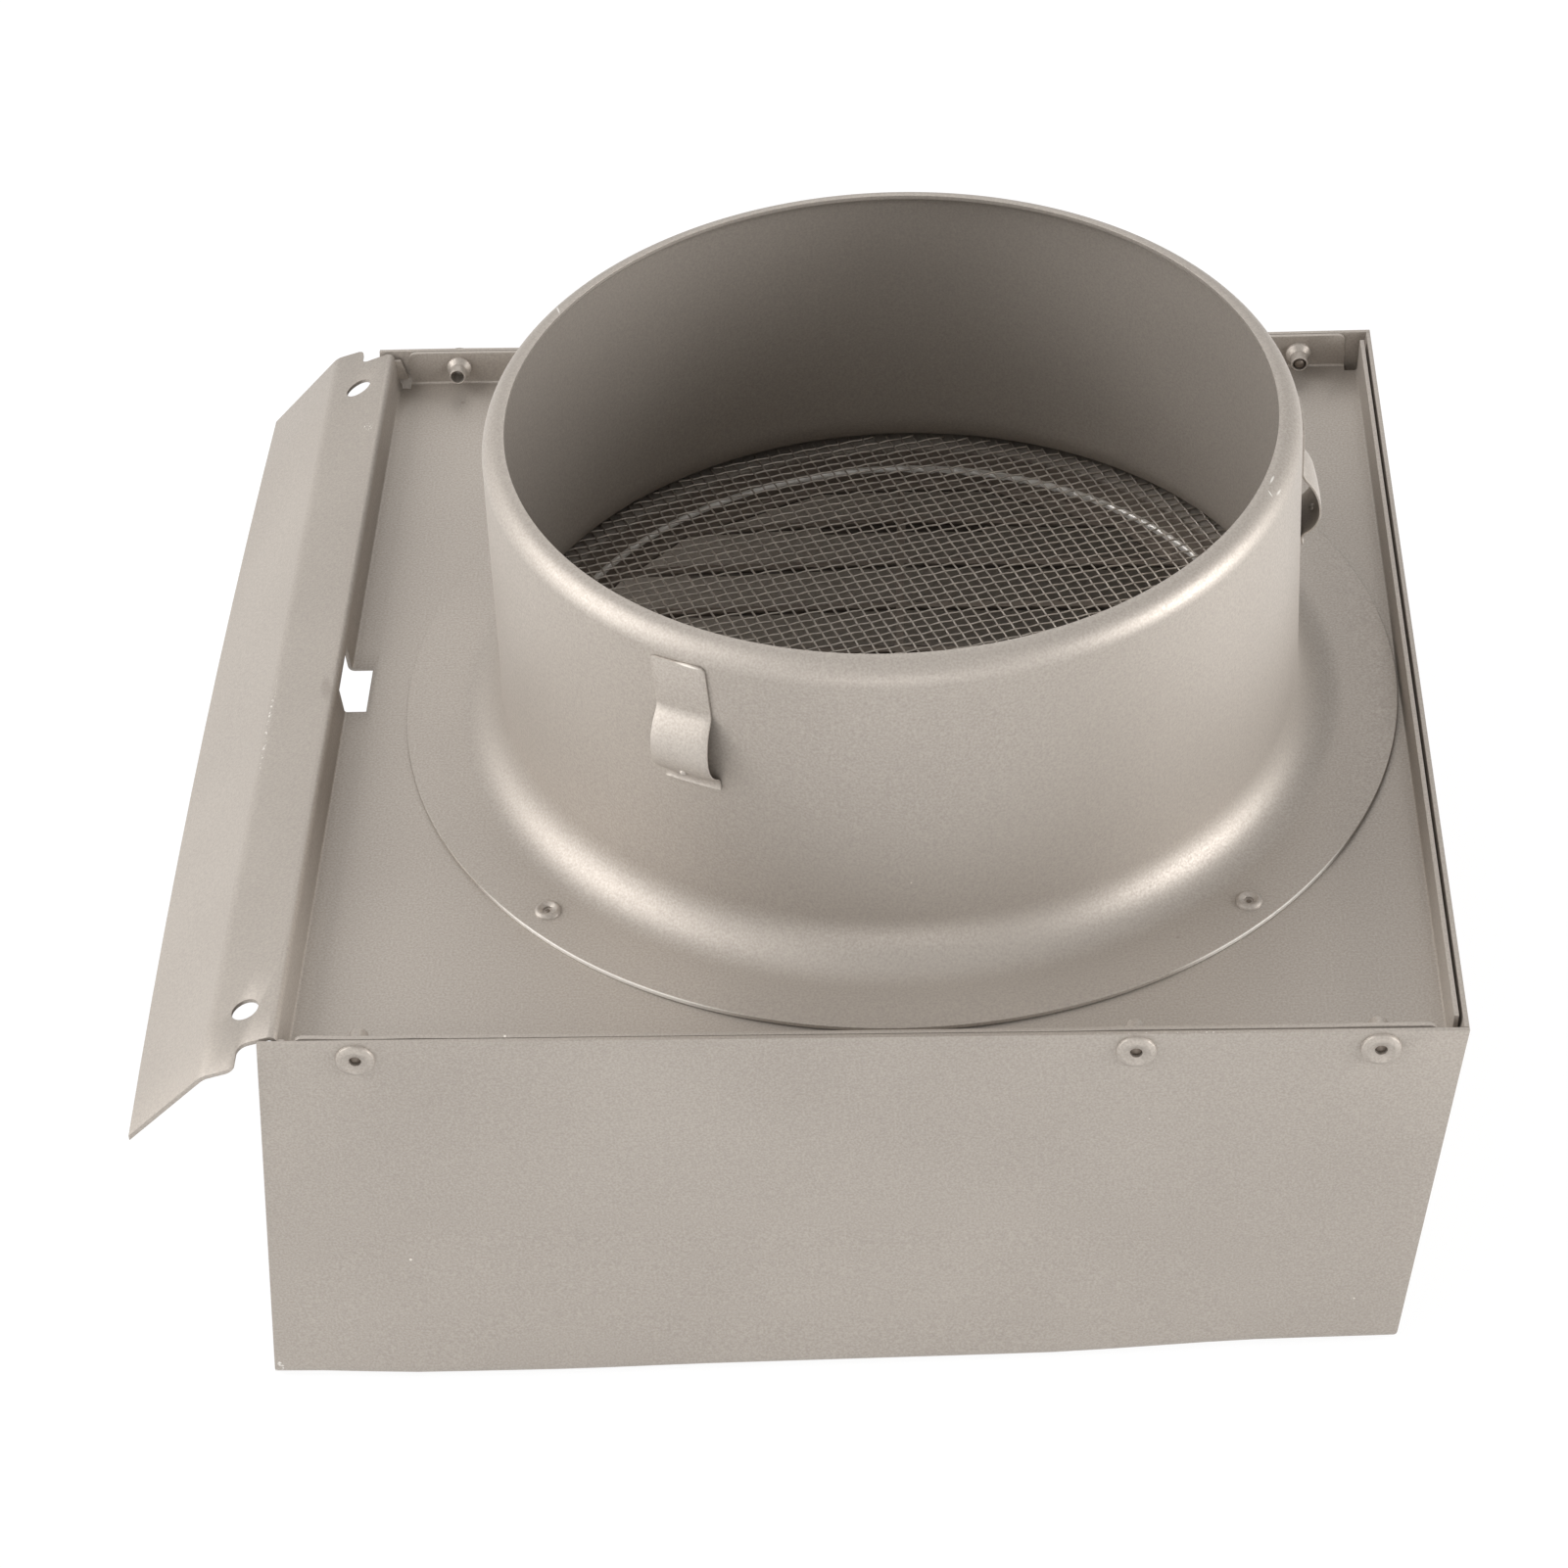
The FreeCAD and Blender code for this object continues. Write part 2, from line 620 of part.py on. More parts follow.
# Leaf spring: a bowed strip that grips the duct pushed over the collar
def make_leaf_spring(number):
    body = new_body("leaf_spring_%d" % number)
    taper = "(collar_taper / (collar_height - rim_roll - gauge + plate_drop - flare_radius))"
    head = "(collar_height - spring_drop)"
    foot = f"({head} - spring_seat)"
    head_face = f"(duct_radius + {taper} * (spring_drop - rim_roll) + spring_air)"
    face = f"({head_face} + {taper} * spring_seat)"
    heel_face = f"({face} + {taper} * (spring_rise + spring_return))"
    bow = "(spring_bulge - spring_gauge)"
    back_bow = f"({face} + {bow} - {heel_face})"
    rise_turn = f"(2 * atan({bow} / spring_rise))"
    back_turn = f"(2 * atan({back_bow} / spring_return))"
    crown_reach = f"(spring_rise / sin{rise_turn} - spring_shoulder)"
    heel_reach = f"(spring_return / sin{back_turn} - spring_heel)"
    crown_height = f"({foot} - spring_rise)"
    heel_height = f"({crown_height} - spring_return)"
    shoulder_x = f"({face} + spring_shoulder * (1 - cos{rise_turn}))"
    shoulder_y = f"({foot} - spring_shoulder * sin{rise_turn})"
    heel_x = f"({heel_face} + spring_heel * (1 - cos{back_turn}))"
    heel_y = f"({heel_height} + spring_heel * sin{back_turn})"
    lip_x = f"({heel_face} + spring_heel * (1 - cos(spring_lip * 1 deg)))"
    lip_y = f"({heel_height} - spring_heel * sin(spring_lip * 1 deg))"
    thin = "spring_gauge"
    profile = new_sketch(body, "profile", "XZ_Plane")
    outline(
        profile,
        [
            (head_face, head),
            (face, foot),
            (shoulder_x, shoulder_y, "spring_shoulder", 1),
            (f"{face} + {bow}", crown_height, crown_reach, -1),
            (heel_x, heel_y, heel_reach, -1),
            (heel_face, heel_height, "spring_heel", 1),
            (lip_x, lip_y, "spring_heel", 1),
            (f"{lip_x} + {thin} * cos(spring_lip * 1 deg)", f"{lip_y} + {thin} * sin(spring_lip * 1 deg)"),
            (f"{heel_face} + {thin}", heel_height, f"spring_heel - {thin}", -1),
            (
                f"{heel_x} + {thin} * cos{back_turn}",
                f"{heel_y} - {thin} * sin{back_turn}",
                f"spring_heel - {thin}",
                -1,
            ),
            (f"{face} + {bow} + {thin}", crown_height, f"{heel_reach} + {thin}", 1),
            (
                f"{shoulder_x} + {thin} * cos{rise_turn}",
                f"{shoulder_y} + {thin} * sin{rise_turn}",
                f"{crown_reach} + {thin}",
                1,
            ),
            (f"{face} + {thin}", foot, f"spring_shoulder - {thin}", -1),
            (f"{head_face} + {thin}", head),
        ],
    )
    revolve(body, "leaf", profile, "spring_width / duct_radius * 180 / pi")

    def head_corner(way, middle):
        at_side = abs(middle.y) > value_of("spring_width / 2 - spring_gauge")
        return near(middle.z, value_of(head)) and at_side and abs(way.x) > 0.9

    round_edges(body, "head_corners", head_corner, "spring_corner")
    bind(body, "Placement.Rotation.Angle", f"spring_angle + 360 / spring_count * {number - 1}")
    return body


# Insect screen: a woven disc, with its wires as ridges and some of its gaps
def make_insect_screen():
    screen = doc.addObject("Part::Feature", "insect_screen")
    screen.Label = "insect_screen"
    flare = "(flare_radius + gauge)"
    under_flare = f"({flare} - screen_thickness - screen_air)"
    edge = value_of(
        f"duct_radius + collar_taper + flare_radius - sqrt({flare} * {flare} - {under_flare} * {under_flare})"
    )
    thickness = value_of("screen_thickness")
    ridge = value_of("ridge_width")
    depth = value_of("ridge_height")
    wall = Part.makeCylinder(edge, thickness)

    def across(angle):
        """The way across the wires that run at an angle."""
        return FreeCAD.Vector(-math.sin(angle), math.cos(angle), 0)

    def grooves(angle, pitch, floor):
        """The troughs between the wires of one direction."""
        count = int(edge / pitch)
        cuts = []
        for step in range(-count - 1, count + 1):
            trough = Part.makeBox(4 * edge, pitch - ridge, depth)
            trough.translate(FreeCAD.Vector(-2 * edge, step * pitch + ridge / 2, floor))
            trough.rotate(FreeCAD.Vector(0, 0, 0), Z_WAY, math.degrees(angle))
            cuts.append(trough)
        return cuts

    weft = math.radians(value_of("weft_angle"))
    warp = math.radians(value_of("warp_angle"))
    weft_pitch = value_of("weft_pitch")
    warp_pitch = value_of("warp_pitch")
    wall = wall.cut(grooves(weft, weft_pitch, thickness - depth))
    wall = wall.cut(grooves(warp, warp_pitch, 0))

    every = int(value_of("gap_every"))
    field = value_of(f"{PLATE_HOLE} - gap_margin")
    skew = math.sin(warp - weft)
    along_weft = FreeCAD.Vector(math.cos(weft), math.sin(weft), 0)
    along_warp = FreeCAD.Vector(math.cos(warp), math.sin(warp), 0)
    reach = int(edge / (every * min(weft_pitch, warp_pitch))) + 1
    gaps = []
    for column in range(-reach, reach + 1):
        for line in range(-reach, reach + 1):
            from_weft = (column * every + 0.5) * weft_pitch
            from_warp = (line * every + 0.5) * warp_pitch
            centre = (along_warp * from_weft - along_weft * from_warp) / skew
            if centre.Length > field:
                continue
            half_warp = along_warp * ((weft_pitch - ridge) / 2 / skew)
            half_weft = along_weft * ((warp_pitch - ridge) / 2 / skew)
            corners = [
                centre - half_warp - half_weft,
                centre + half_warp - half_weft,
                centre + half_warp + half_weft,
                centre - half_warp + half_weft,
            ]
            hole = Part.Face(Part.makePolygon(corners + corners[:1]))
            gaps.append(hole.extrude(Z_WAY * thickness))
    screen.Shape = wall.cut(gaps)
    bind(screen, "Placement.Base.z", "0 - plate_drop")
    return screen


# Louvre plate: a pressed dish under the back plate, with rows of bent slats
def make_louvre_plate():
    body = new_body("louvre_plate")
    wall = f"({PLATE_HOLE} + dish_gap)"
    floor = f"({PLATE_UNDER} - dish_depth)"
    under = f"({floor} - gauge)"
    ring_edge = f"({COLLAR_FLANGE} - dish_flange_short)"
    section = new_sketch(body, "section", "XZ_Plane")
    outline(
        section,
        [
            ("0", floor),
            (f"{wall} - fold_inside", floor),
            (wall, f"{floor} + fold_inside", "fold_inside", 1),
            (wall, f"{PLATE_UNDER} - {FOLD_OUTSIDE}"),
            (f"{wall} + {FOLD_OUTSIDE}", PLATE_UNDER, FOLD_OUTSIDE, -1),
            (ring_edge, PLATE_UNDER),
            (ring_edge, f"{PLATE_UNDER} - gauge"),
            (f"{wall} + {FOLD_OUTSIDE}", f"{PLATE_UNDER} - gauge"),
            (f"{wall} + gauge", f"{PLATE_UNDER} - {FOLD_OUTSIDE}", "fold_inside", 1),
            (f"{wall} + gauge", f"{floor} + fold_inside"),
            (f"{wall} - fold_inside", under, FOLD_OUTSIDE, -1),
            ("0", under),
        ],
    )
    revolve(body, "pressed_dish", section)

    field = "duct_radius - louvre_clear"
    rows_up = int(value_of(f"({field} - louvre_offset) / louvre_pitch"))
    rows_down = int(value_of(f"({field} + louvre_offset) / louvre_pitch"))
    rim = f"({wall} - louvre_margin)"
    windows = new_sketch(body, "windows", "XY_Plane", floor)
    rows = []
    for step in range(-rows_down, rows_up):
        low = f"(louvre_offset + louvre_pitch * {step} + louvre_bar / 2)"
        high = f"(louvre_offset + louvre_pitch * {step + 1} - louvre_bar / 2)"
        low_end = f"sqrt({rim} * {rim} - {low} * {low})"
        high_end = f"sqrt({rim} * {rim} - {high} * {high})"
        rows.append((low, high_end if step >= 0 else low_end))
        for side in ("", "0 - "):
            outline(
                windows,
                [
                    (f"{side}louvre_rib / 2", low),
                    (f"{side}{low_end}", low),
                    (f"{side}{high_end}", high),
                    (f"{side}louvre_rib / 2", high),
                ],
            )
    extrude(body, "Pocket", "windows_cut", windows)

    lean = "slat_angle * 1 deg"
    for number, (hinge, end) in enumerate(rows, start=1):
        slat = new_sketch(body, "slat_%d" % number, "YZ_Plane")
        outline(
            slat,
            [
                (f"{hinge} - louvre_bar / 4", floor),
                (hinge, floor),
                (f"{hinge} + slat_length * cos({lean})", f"{floor} - slat_length * sin({lean})"),
                (
                    f"{hinge} + slat_length * cos({lean}) - gauge * sin({lean})",
                    f"{floor} - slat_length * sin({lean}) - gauge * cos({lean})",
                ),
                (f"{hinge} - gauge * tan({lean} / 2)", under),
                (f"{hinge} - louvre_bar / 4", under),
            ],
        )
        extrude(body, "Pad", "slat_pad_%d" % number, slat, f"2 * ({end} - slat_kerf)", symmetric=True)

    split = new_sketch(body, "split", "XY_Plane", under)
    outline(
        split,
        [
            ("0 - louvre_rib / 2 - slat_kerf", "0 - duct_radius"),
            ("louvre_rib / 2 + slat_kerf", "0 - duct_radius"),
            ("louvre_rib / 2 + slat_kerf", "duct_radius"),
            ("0 - louvre_rib / 2 - slat_kerf", "duct_radius"),
        ],
    )
    extrude(body, "Pocket", "split_cut", split)
    flange_rivet_holes(body, PLATE_UNDER)
    return body


# Blind rivets. Each stands on its own XY plane, head up, on its own Z axis.
def tail_cup(kind):
    """The open end of a rivet's tail: its radius, and how deep a ball sits in it."""
    return f"(({kind}_shank + {kind}_bore) / 2)", f"({kind}_bore + rivet_air)"


def make_rivet(label, kind, grip):
    """A set rivet: dished head, shank through the sheets, bulb and open tail."""
    body = new_body(label)
    head, dome, shank = f"{kind}_head", f"{kind}_dome", f"{kind}_shank"
    bore, bulb, tail = f"{kind}_bore", f"{kind}_bulb", f"({grip} + {kind}_tail)"
    crest = f"(({head} + {bore}) / 2)"
    mouth, seat = tail_cup(kind)
    cup = f"({seat} + (sqrt(2) - 1) * {mouth} + rivet_air)"
    profile = new_sketch(body, "profile", "XZ_Plane")
    outline(
        profile,
        [
            (bore, f"{dome} / 2"),
            (crest, dome, f"2 * {head}", 1),
            (head, f"{dome} / 4", head, -1),
            (head, "0"),
            (shank, "0"),
            (shank, f"0 - {grip}"),
            (bulb, f"0 - {grip}"),
            (bulb, f"0 - {grip} - {bore} / 2"),
            (shank, f"0 - {grip} - {bore} / 2 - ({bulb} - {shank})"),
            (shank, f"({shank} - {mouth}) / 2 - {tail}"),
            (f"({shank} + {mouth}) / 2", f"0 - {tail}"),
            (mouth, f"0 - {tail}"),
            (mouth, f"{cup} - {tail}"),
            (bore, f"{cup} + {mouth} - {bore} - {tail}"),
        ],
    )
    revolve(body, "set_rivet", profile)
    return body


def make_pin(label, kind, grip):
    """What is left of the pulling pin: a snapped stem with its round head."""
    body = new_body(label)
    mouth, seat = tail_cup(kind)
    ball = f"({mouth} - rivet_air)"
    stem = f"({kind}_bore - rivet_air)"
    middle = f"({seat} - {grip} - {kind}_tail)"
    top = f"({kind}_dome / 5)"
    profile = new_sketch(body, "profile", "XZ_Plane")
    outline(
        profile,
        [
            ("0", top),
            (f"{stem} - {stem} / 4", top),
            (stem, f"{top} - {stem} / 4"),
            (stem, f"{middle} + sqrt({ball} * {ball} - {stem} * {stem})"),
            (ball, middle, ball, -1),
            ("0", f"{middle} - {ball}", ball, -1),
        ],
    )
    revolve(body, "snapped_pin", profile)
    return body


def stand_on_flange(body, number):
    """Set a rivet's piece on the collar's flange, at its own place on the circle."""
    turn = f"(180 deg / flange_rivet_count * {2 * number + 1})"
    bind(body, "Placement.Base.x", f"{FLANGE_PITCH} * cos{turn}")
    bind(body, "Placement.Base.y", f"{FLANGE_PITCH} * sin{turn}")
    bind(body, "Placement.Base.z", "gauge - plate_drop")


def set_in_side(body, number):
    """Set a rivet's piece in the near side (the first three) or the far side."""
    far = number >= len(SIDE_RIVETS)
    quarter_turn = -90 if far else 90
    body.Placement.Rotation = FreeCAD.Rotation(X_WAY, quarter_turn)
    bind(body, "Placement.Base.x", SIDE_RIVETS[number % len(SIDE_RIVETS)])
    bind(body, "Placement.Base.y", "cover_width / 2" if far else "0 - cover_width / 2")
    bind(body, "Placement.Base.z", "0 - side_rivet_depth")


# The rivet at the far side's mouth end has lost its pin
EMPTY_RIVET = len(SIDE_RIVETS)

pieces = [
    make_hood_cover(),
    make_back_plate(),
    make_duct_collar(),
    make_insect_screen(),
    make_louvre_plate(),
]
for number in range(int(SIZES["spring_count"])):
    pieces.append(make_leaf_spring(number + 1))
for number in range(int(SIZES["flange_rivet_count"])):
    for label, make in (("flange_rivet", make_rivet), ("flange_rivet_pin", make_pin)):
        piece = make("%s_%d" % (label, number + 1), "flange_rivet", FLANGE_GRIP)
        stand_on_flange(piece, number)
        pieces.append(piece)
for number in range(2 * len(SIDE_RIVETS)):
    for label, make in (("side_rivet", make_rivet), ("side_rivet_pin", make_pin)):
        if make is make_pin and number == EMPTY_RIVET:
            continue
        piece = make("%s_%d" % (label, number + 1), "side_rivet", SIDE_GRIP)
        set_in_side(piece, number)
        pieces.append(piece)
doc.recompute()

for thing in doc.Objects:
    if "Invalid" in thing.State or "Error" in thing.State:
        raise RuntimeError("%s: %s" % (thing.Label, thing.State))
for piece in pieces:
    if piece.Shape.isNull() or not piece.Shape.isValid() or len(piece.Shape.Solids) != 1:
        raise RuntimeError("%s has no sound solid" % piece.Label)

os.makedirs("parts", exist_ok=True)
for piece in pieces:
    piece.Shape.exportStep("parts/%s.step" % piece.Label)
    print("%-22s %10.1f mm3" % (piece.Label, piece.Shape.Volume))
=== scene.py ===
import math

import bpy
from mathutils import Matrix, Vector


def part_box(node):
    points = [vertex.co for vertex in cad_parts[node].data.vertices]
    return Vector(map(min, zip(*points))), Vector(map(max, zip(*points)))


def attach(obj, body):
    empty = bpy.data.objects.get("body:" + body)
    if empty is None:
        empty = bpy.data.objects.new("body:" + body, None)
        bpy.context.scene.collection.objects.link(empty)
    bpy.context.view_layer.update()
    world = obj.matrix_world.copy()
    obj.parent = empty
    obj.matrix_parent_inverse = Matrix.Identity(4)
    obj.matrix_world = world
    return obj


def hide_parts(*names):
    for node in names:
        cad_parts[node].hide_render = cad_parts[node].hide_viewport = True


bl_info = {
    "name": "Wall Vent Cap",
    "version": (2, 0, 0),
    "blender": (4, 5, 0),
    "location": "3D View > Sidebar > Vent Cap",
    "description": "Builds a sprayed sheet metal vent cap around its packed solids",
    "category": "Object",
}

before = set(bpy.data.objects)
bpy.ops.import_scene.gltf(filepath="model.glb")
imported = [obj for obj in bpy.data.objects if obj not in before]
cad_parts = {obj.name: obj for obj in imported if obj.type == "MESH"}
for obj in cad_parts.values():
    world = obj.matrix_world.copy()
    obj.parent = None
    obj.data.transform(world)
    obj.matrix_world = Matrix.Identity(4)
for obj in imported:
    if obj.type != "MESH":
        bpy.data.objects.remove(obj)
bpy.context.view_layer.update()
MM = 0.001

COVER_LOW, COVER_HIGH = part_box("hood_cover")
COLLAR_LOW, COLLAR_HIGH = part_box("duct_collar")
SCREEN_LOW, SCREEN_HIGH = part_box("insect_screen")
PAINT_SLOT = "metallic_paint"
# Drawn points closer than this are one
SAME_PLACE = MM / 1000
# The front panel's depth from the wall plane at its two ends, and its length, in millimetres
MOUTH_DEPTH, TOP_DEPTH, FRONT_LENGTH = 87.0, 79.0, 205.5
FRONT_LEAN = math.atan((MOUTH_DEPTH - TOP_DEPTH) / FRONT_LENGTH)


def length(name, description, millimetres):
    """A length with its unit, given in millimetres."""
    return bpy.props.FloatProperty(
        name=name, description=description, default=millimetres * MM, unit="LENGTH", precision=5
    )


def angle(name, description, degrees):
    """An angle with its unit, given in degrees."""
    return bpy.props.FloatProperty(
        name=name, description=description, default=math.radians(degrees), subtype="ANGLE"
    )


def colour(name, description, default):
    """A colour given as an sRGB hex value."""
    return bpy.props.StringProperty(name=name, description=description, default=default)


class VentCapSizes(bpy.types.PropertyGroup):
    gauge: length("Sheet", "Thickness of the sheet metal", 0.8)
    sheet_edge: length("Sheet edge", "How far the sheets' cut edges are rounded", 0.1)
    side_bulge: length("Side bulge", "How far the near side is pushed out along its bend", 1.6)
    far_bow: length("Far side bow", "How far the far side bows out at the mouth", 1.5)
    rim_radius: length("Rim", "Radius of the collar's rolled rim", 4.3)
    rim_reach: length("Rim reach", "Radius of the rim's turned in edge", 69.2)
    collar_top: length("Collar top", "Radius of the collar under its rim", 73.5)
    collar_foot: length("Collar foot", "Radius of the collar above its flare", 74.6)
    flare: length("Flare", "Radius of the collar's flare", 9.0)
    flange_lift: length("Flange lift", "How far the flange stands off between its rivets", 0.35)
    spring_width: length("Spring width", "Width of a leaf spring", 10.8)
    spring_gauge: length("Spring strip", "Thickness of a leaf spring", 0.4)
    spring_drop: length("Spring drop", "How far a spring's head lies below the rim", 4.6)
    spring_turn: angle("Spring turn", "Turn of the first leaf spring from X", 2.0)
    spring_cant: angle("Spring cant", "How far askew the front leaf spring is set", 4.5)
    wire: length("Wire", "Diameter of the insect screen's wires", 0.4)
    crimp: length("Crimp", "How far a wire rises and falls as it crosses the others", 0.09)
    weft_pitch: length("Weft pitch", "Distance between the wires that run across", 2.43)
    warp_pitch: length("Warp pitch", "Distance between the wires that run along", 2.14)
    weft_angle: angle("Weft angle", "Turn of the weft from X", -66.2)
    warp_angle: angle("Warp angle", "Turn of the warp from X", 16.4)


class VentCapColours(bpy.types.PropertyGroup):
    paint: colour("Paint", "The sprayed paint between its flakes", "#9e968e")
    flake: colour("Flake", "The paint's aluminium flakes", "#b3aba2")
    speck: colour("Speck", "Pale dust nibs in the paint", "#ded8cf")
    bare: colour("Bare metal", "Sheet metal where the paint is rubbed off", "#dcd8d2")
    grime: colour("Grime", "Dirt in the chips and scratches", "#6f655c")
    # Painted shade: the louvre plate's bars are painted a little darker than the paint and its
    # slats much darker, for their place deep behind the collar
    painted_half_shade: colour("Painted half shade", "The louvre plate's bars, painted darker as painted shade", "#887e74")
    painted_deep_shade: colour("Painted deep shade", "The louvre plate's slats, painted much darker as painted shade", "#453f39")
    wire: colour("Wire", "The screen's wires, sprayed over lightly", "#cdc5bb")
    pin: colour("Pin", "The rivets' snapped pins", "#756b62")
    rust: colour("Rust", "A brown line on the front spring's edge", "#7a5a3c")


class VentCapCamera(bpy.types.PropertyGroup):
    place: bpy.props.FloatVectorProperty(
        name="Place",
        description="Where the camera stands",
        default=(0.015955, -0.581794, 0.477737),
        unit="LENGTH",
    )
    turn: bpy.props.FloatVectorProperty(
        name="Turn",
        description="How the camera is turned",
        default=tuple(math.radians(degrees) for degrees in (48.57848, 3.13864, 2.21423)),
        subtype="EULER",
    )
    lens: bpy.props.FloatProperty(
        name="Lens", description="Focal length in millimetres", default=91.626
    )
    shift: bpy.props.FloatVectorProperty(
        name="Shift", description="Shift of the frame", default=(0.0383, 0.01076), size=2
    )


def linear(hex_colour):
    """An sRGB hex value as a linear colour."""
    shares = [int(hex_colour[place : place + 2], 16) / 255 for place in (1, 3, 5)]
    return tuple(
        s / 12.92 if s <= 0.04045 else ((s + 0.055) / 1.055) ** 2.4 for s in shares
    ) + (1.0,)


def add_node(tree, kind, sockets=None, **settings):
    """Add a node with its settings. Each socket takes a value or another node's output."""
    node = tree.nodes.new(kind)
    for key, value in settings.items():
        setattr(node, key, value)
    for key, value in (sockets or {}).items():
        if isinstance(value, bpy.types.NodeSocket):
            tree.links.new(value, node.inputs[key])
        else:
            node.inputs[key].default_value = value
    return node


def new_material(name):
    """An empty material with its output node."""
    material = bpy.data.materials.new(name)
    material.use_nodes = True
    material.node_tree.nodes.clear()
    return material, material.node_tree, add_node(material.node_tree, "ShaderNodeOutputMaterial")


def in_millimetres(tree):
    """The piece's own place, scaled so that pattern sizes are in millimetres."""
    place = add_node(tree, "ShaderNodeTexCoord").outputs["Object"]
    scaled = add_node(tree, "ShaderNodeMapping", {"Vector": place, "Scale": (1 / MM,) * 3})
    return scaled.outputs[0]


def spot(tree, place, centre, reach, turn=0.0):
    """A soft oval spot in millimetres: 1 in its middle, 0 beyond its reach."""
    inside = add_node(
        tree,
        "ShaderNodeMapping",
        {
            "Vector": place,
            "Location": centre,
            "Rotation": (0, 0, math.radians(turn)),
            "Scale": reach,
        },
        vector_type="TEXTURE",
    )
    away = add_node(tree, "ShaderNodeVectorMath", {0: inside.outputs[0]}, operation="LENGTH")
    fade = add_node(
        tree, "ShaderNodeMapRange", {0: away.outputs["Value"], 1: 0.55, 2: 1.0, 3: 1.0, 4: 0.0}
    )
    return fade.outputs[0]


def off_axis(tree, place):
    """How far a place lies from the duct's axis."""
    flat = add_node(tree, "ShaderNodeVectorMath", {0: place, 1: (1, 1, 0)}, operation="MULTIPLY")
    away = add_node(tree, "ShaderNodeVectorMath", {0: flat.outputs[0]}, operation="LENGTH")
    return away.outputs["Value"]


def flakes_in(tree, place, least, most):
    """The pattern of the paint's flakes, and how much they glitter at each point.

    Real flakes are under 0.1 mm. They are drawn at 0.4 mm so that they show.
    """
    noise = add_node(tree, "ShaderNodeTexNoise", {"Vector": place, "Scale": 2.4, "Detail": 2.0})
    flakes = noise.outputs[0]
    glitter = add_node(tree, "ShaderNodeMapRange", {0: flakes, 1: 0.3, 2: 0.7, 3: least, 4: most})
    return flakes, glitter.outputs[0]


def most_of(tree, masks):
    """The strongest of several masks at each point."""
    strongest = masks[0]
    for mask in masks[1:]:
        pair = add_node(tree, "ShaderNodeMath", {0: strongest, 1: mask}, operation="MAXIMUM")
        strongest = pair.outputs[0]
    return strongest


def blended(tree, share, under, over):
    """One colour laid over another."""
    mix = add_node(tree, "ShaderNodeMix", {0: share, 6: under, 7: over}, data_type="RGBA")
    return mix.outputs[2]


# Marks on this cap's paint, each a middle, a reach and where it has one a turn, in
# millimetres and degrees
SCRATCHES = (
    ((66.6, -23.2, 56.6), (0.22, 1.3, 1.5), -20.0),
    ((67.7, -25.4, 56.6), (0.22, 1.5, 1.5), -25.0),
    ((66.1, -26.8, 56.8), (0.18, 0.9, 1.5), 30.0),
    ((-62.0, 34.0, 57.0), (0.2, 2.2, 1.0), 15.0),
    ((20.3, -70.6, 57.0), (1.6, 0.25, 1.0), 10.0),
)
CHIPS = (
    ((-131.4, -70.0, -20.6), (2.5, 22.0, 2.0)),
    ((-131.6, -99.0, -21.5), (3.0, 5.0, 2.5)),
    ((-118.6, -12.0, -3.4), (0.8, 26.0, 1.4)),
    ((-108.3, 76.7, -0.8), (2.2, 3.4, 1.4), 20.0),
    ((51.9, -65.8, -6.7), (0.6, 0.6, 0.6)),
    ((88.4, -101.0, -74.2), (1.4, 1.6, 1.6)),
    ((-117.0, -101.5, -84.0), (4.0, 2.0, 4.0)),
    ((48.0, -101.7, -0.2), (46.0, 0.5, 0.4)),
)
SMUDGES = (
    ((-107.7, -7.0, -0.6), (1.4, 4.5, 1.5), 10.0),
    ((-91.4, 94.5, -7.5), (0.7, 0.7, 0.7)),
    ((49.4, -71.3, -6.7), (0.5, 0.5, 0.5)),
)
FLANGE_WEAR = (
    ((-52.9, -76.9, -7.1), (33.0, 33.0, 1.6)),
    ((66.5, -65.4, -7.1), (25.0, 25.0, 1.6)),
)


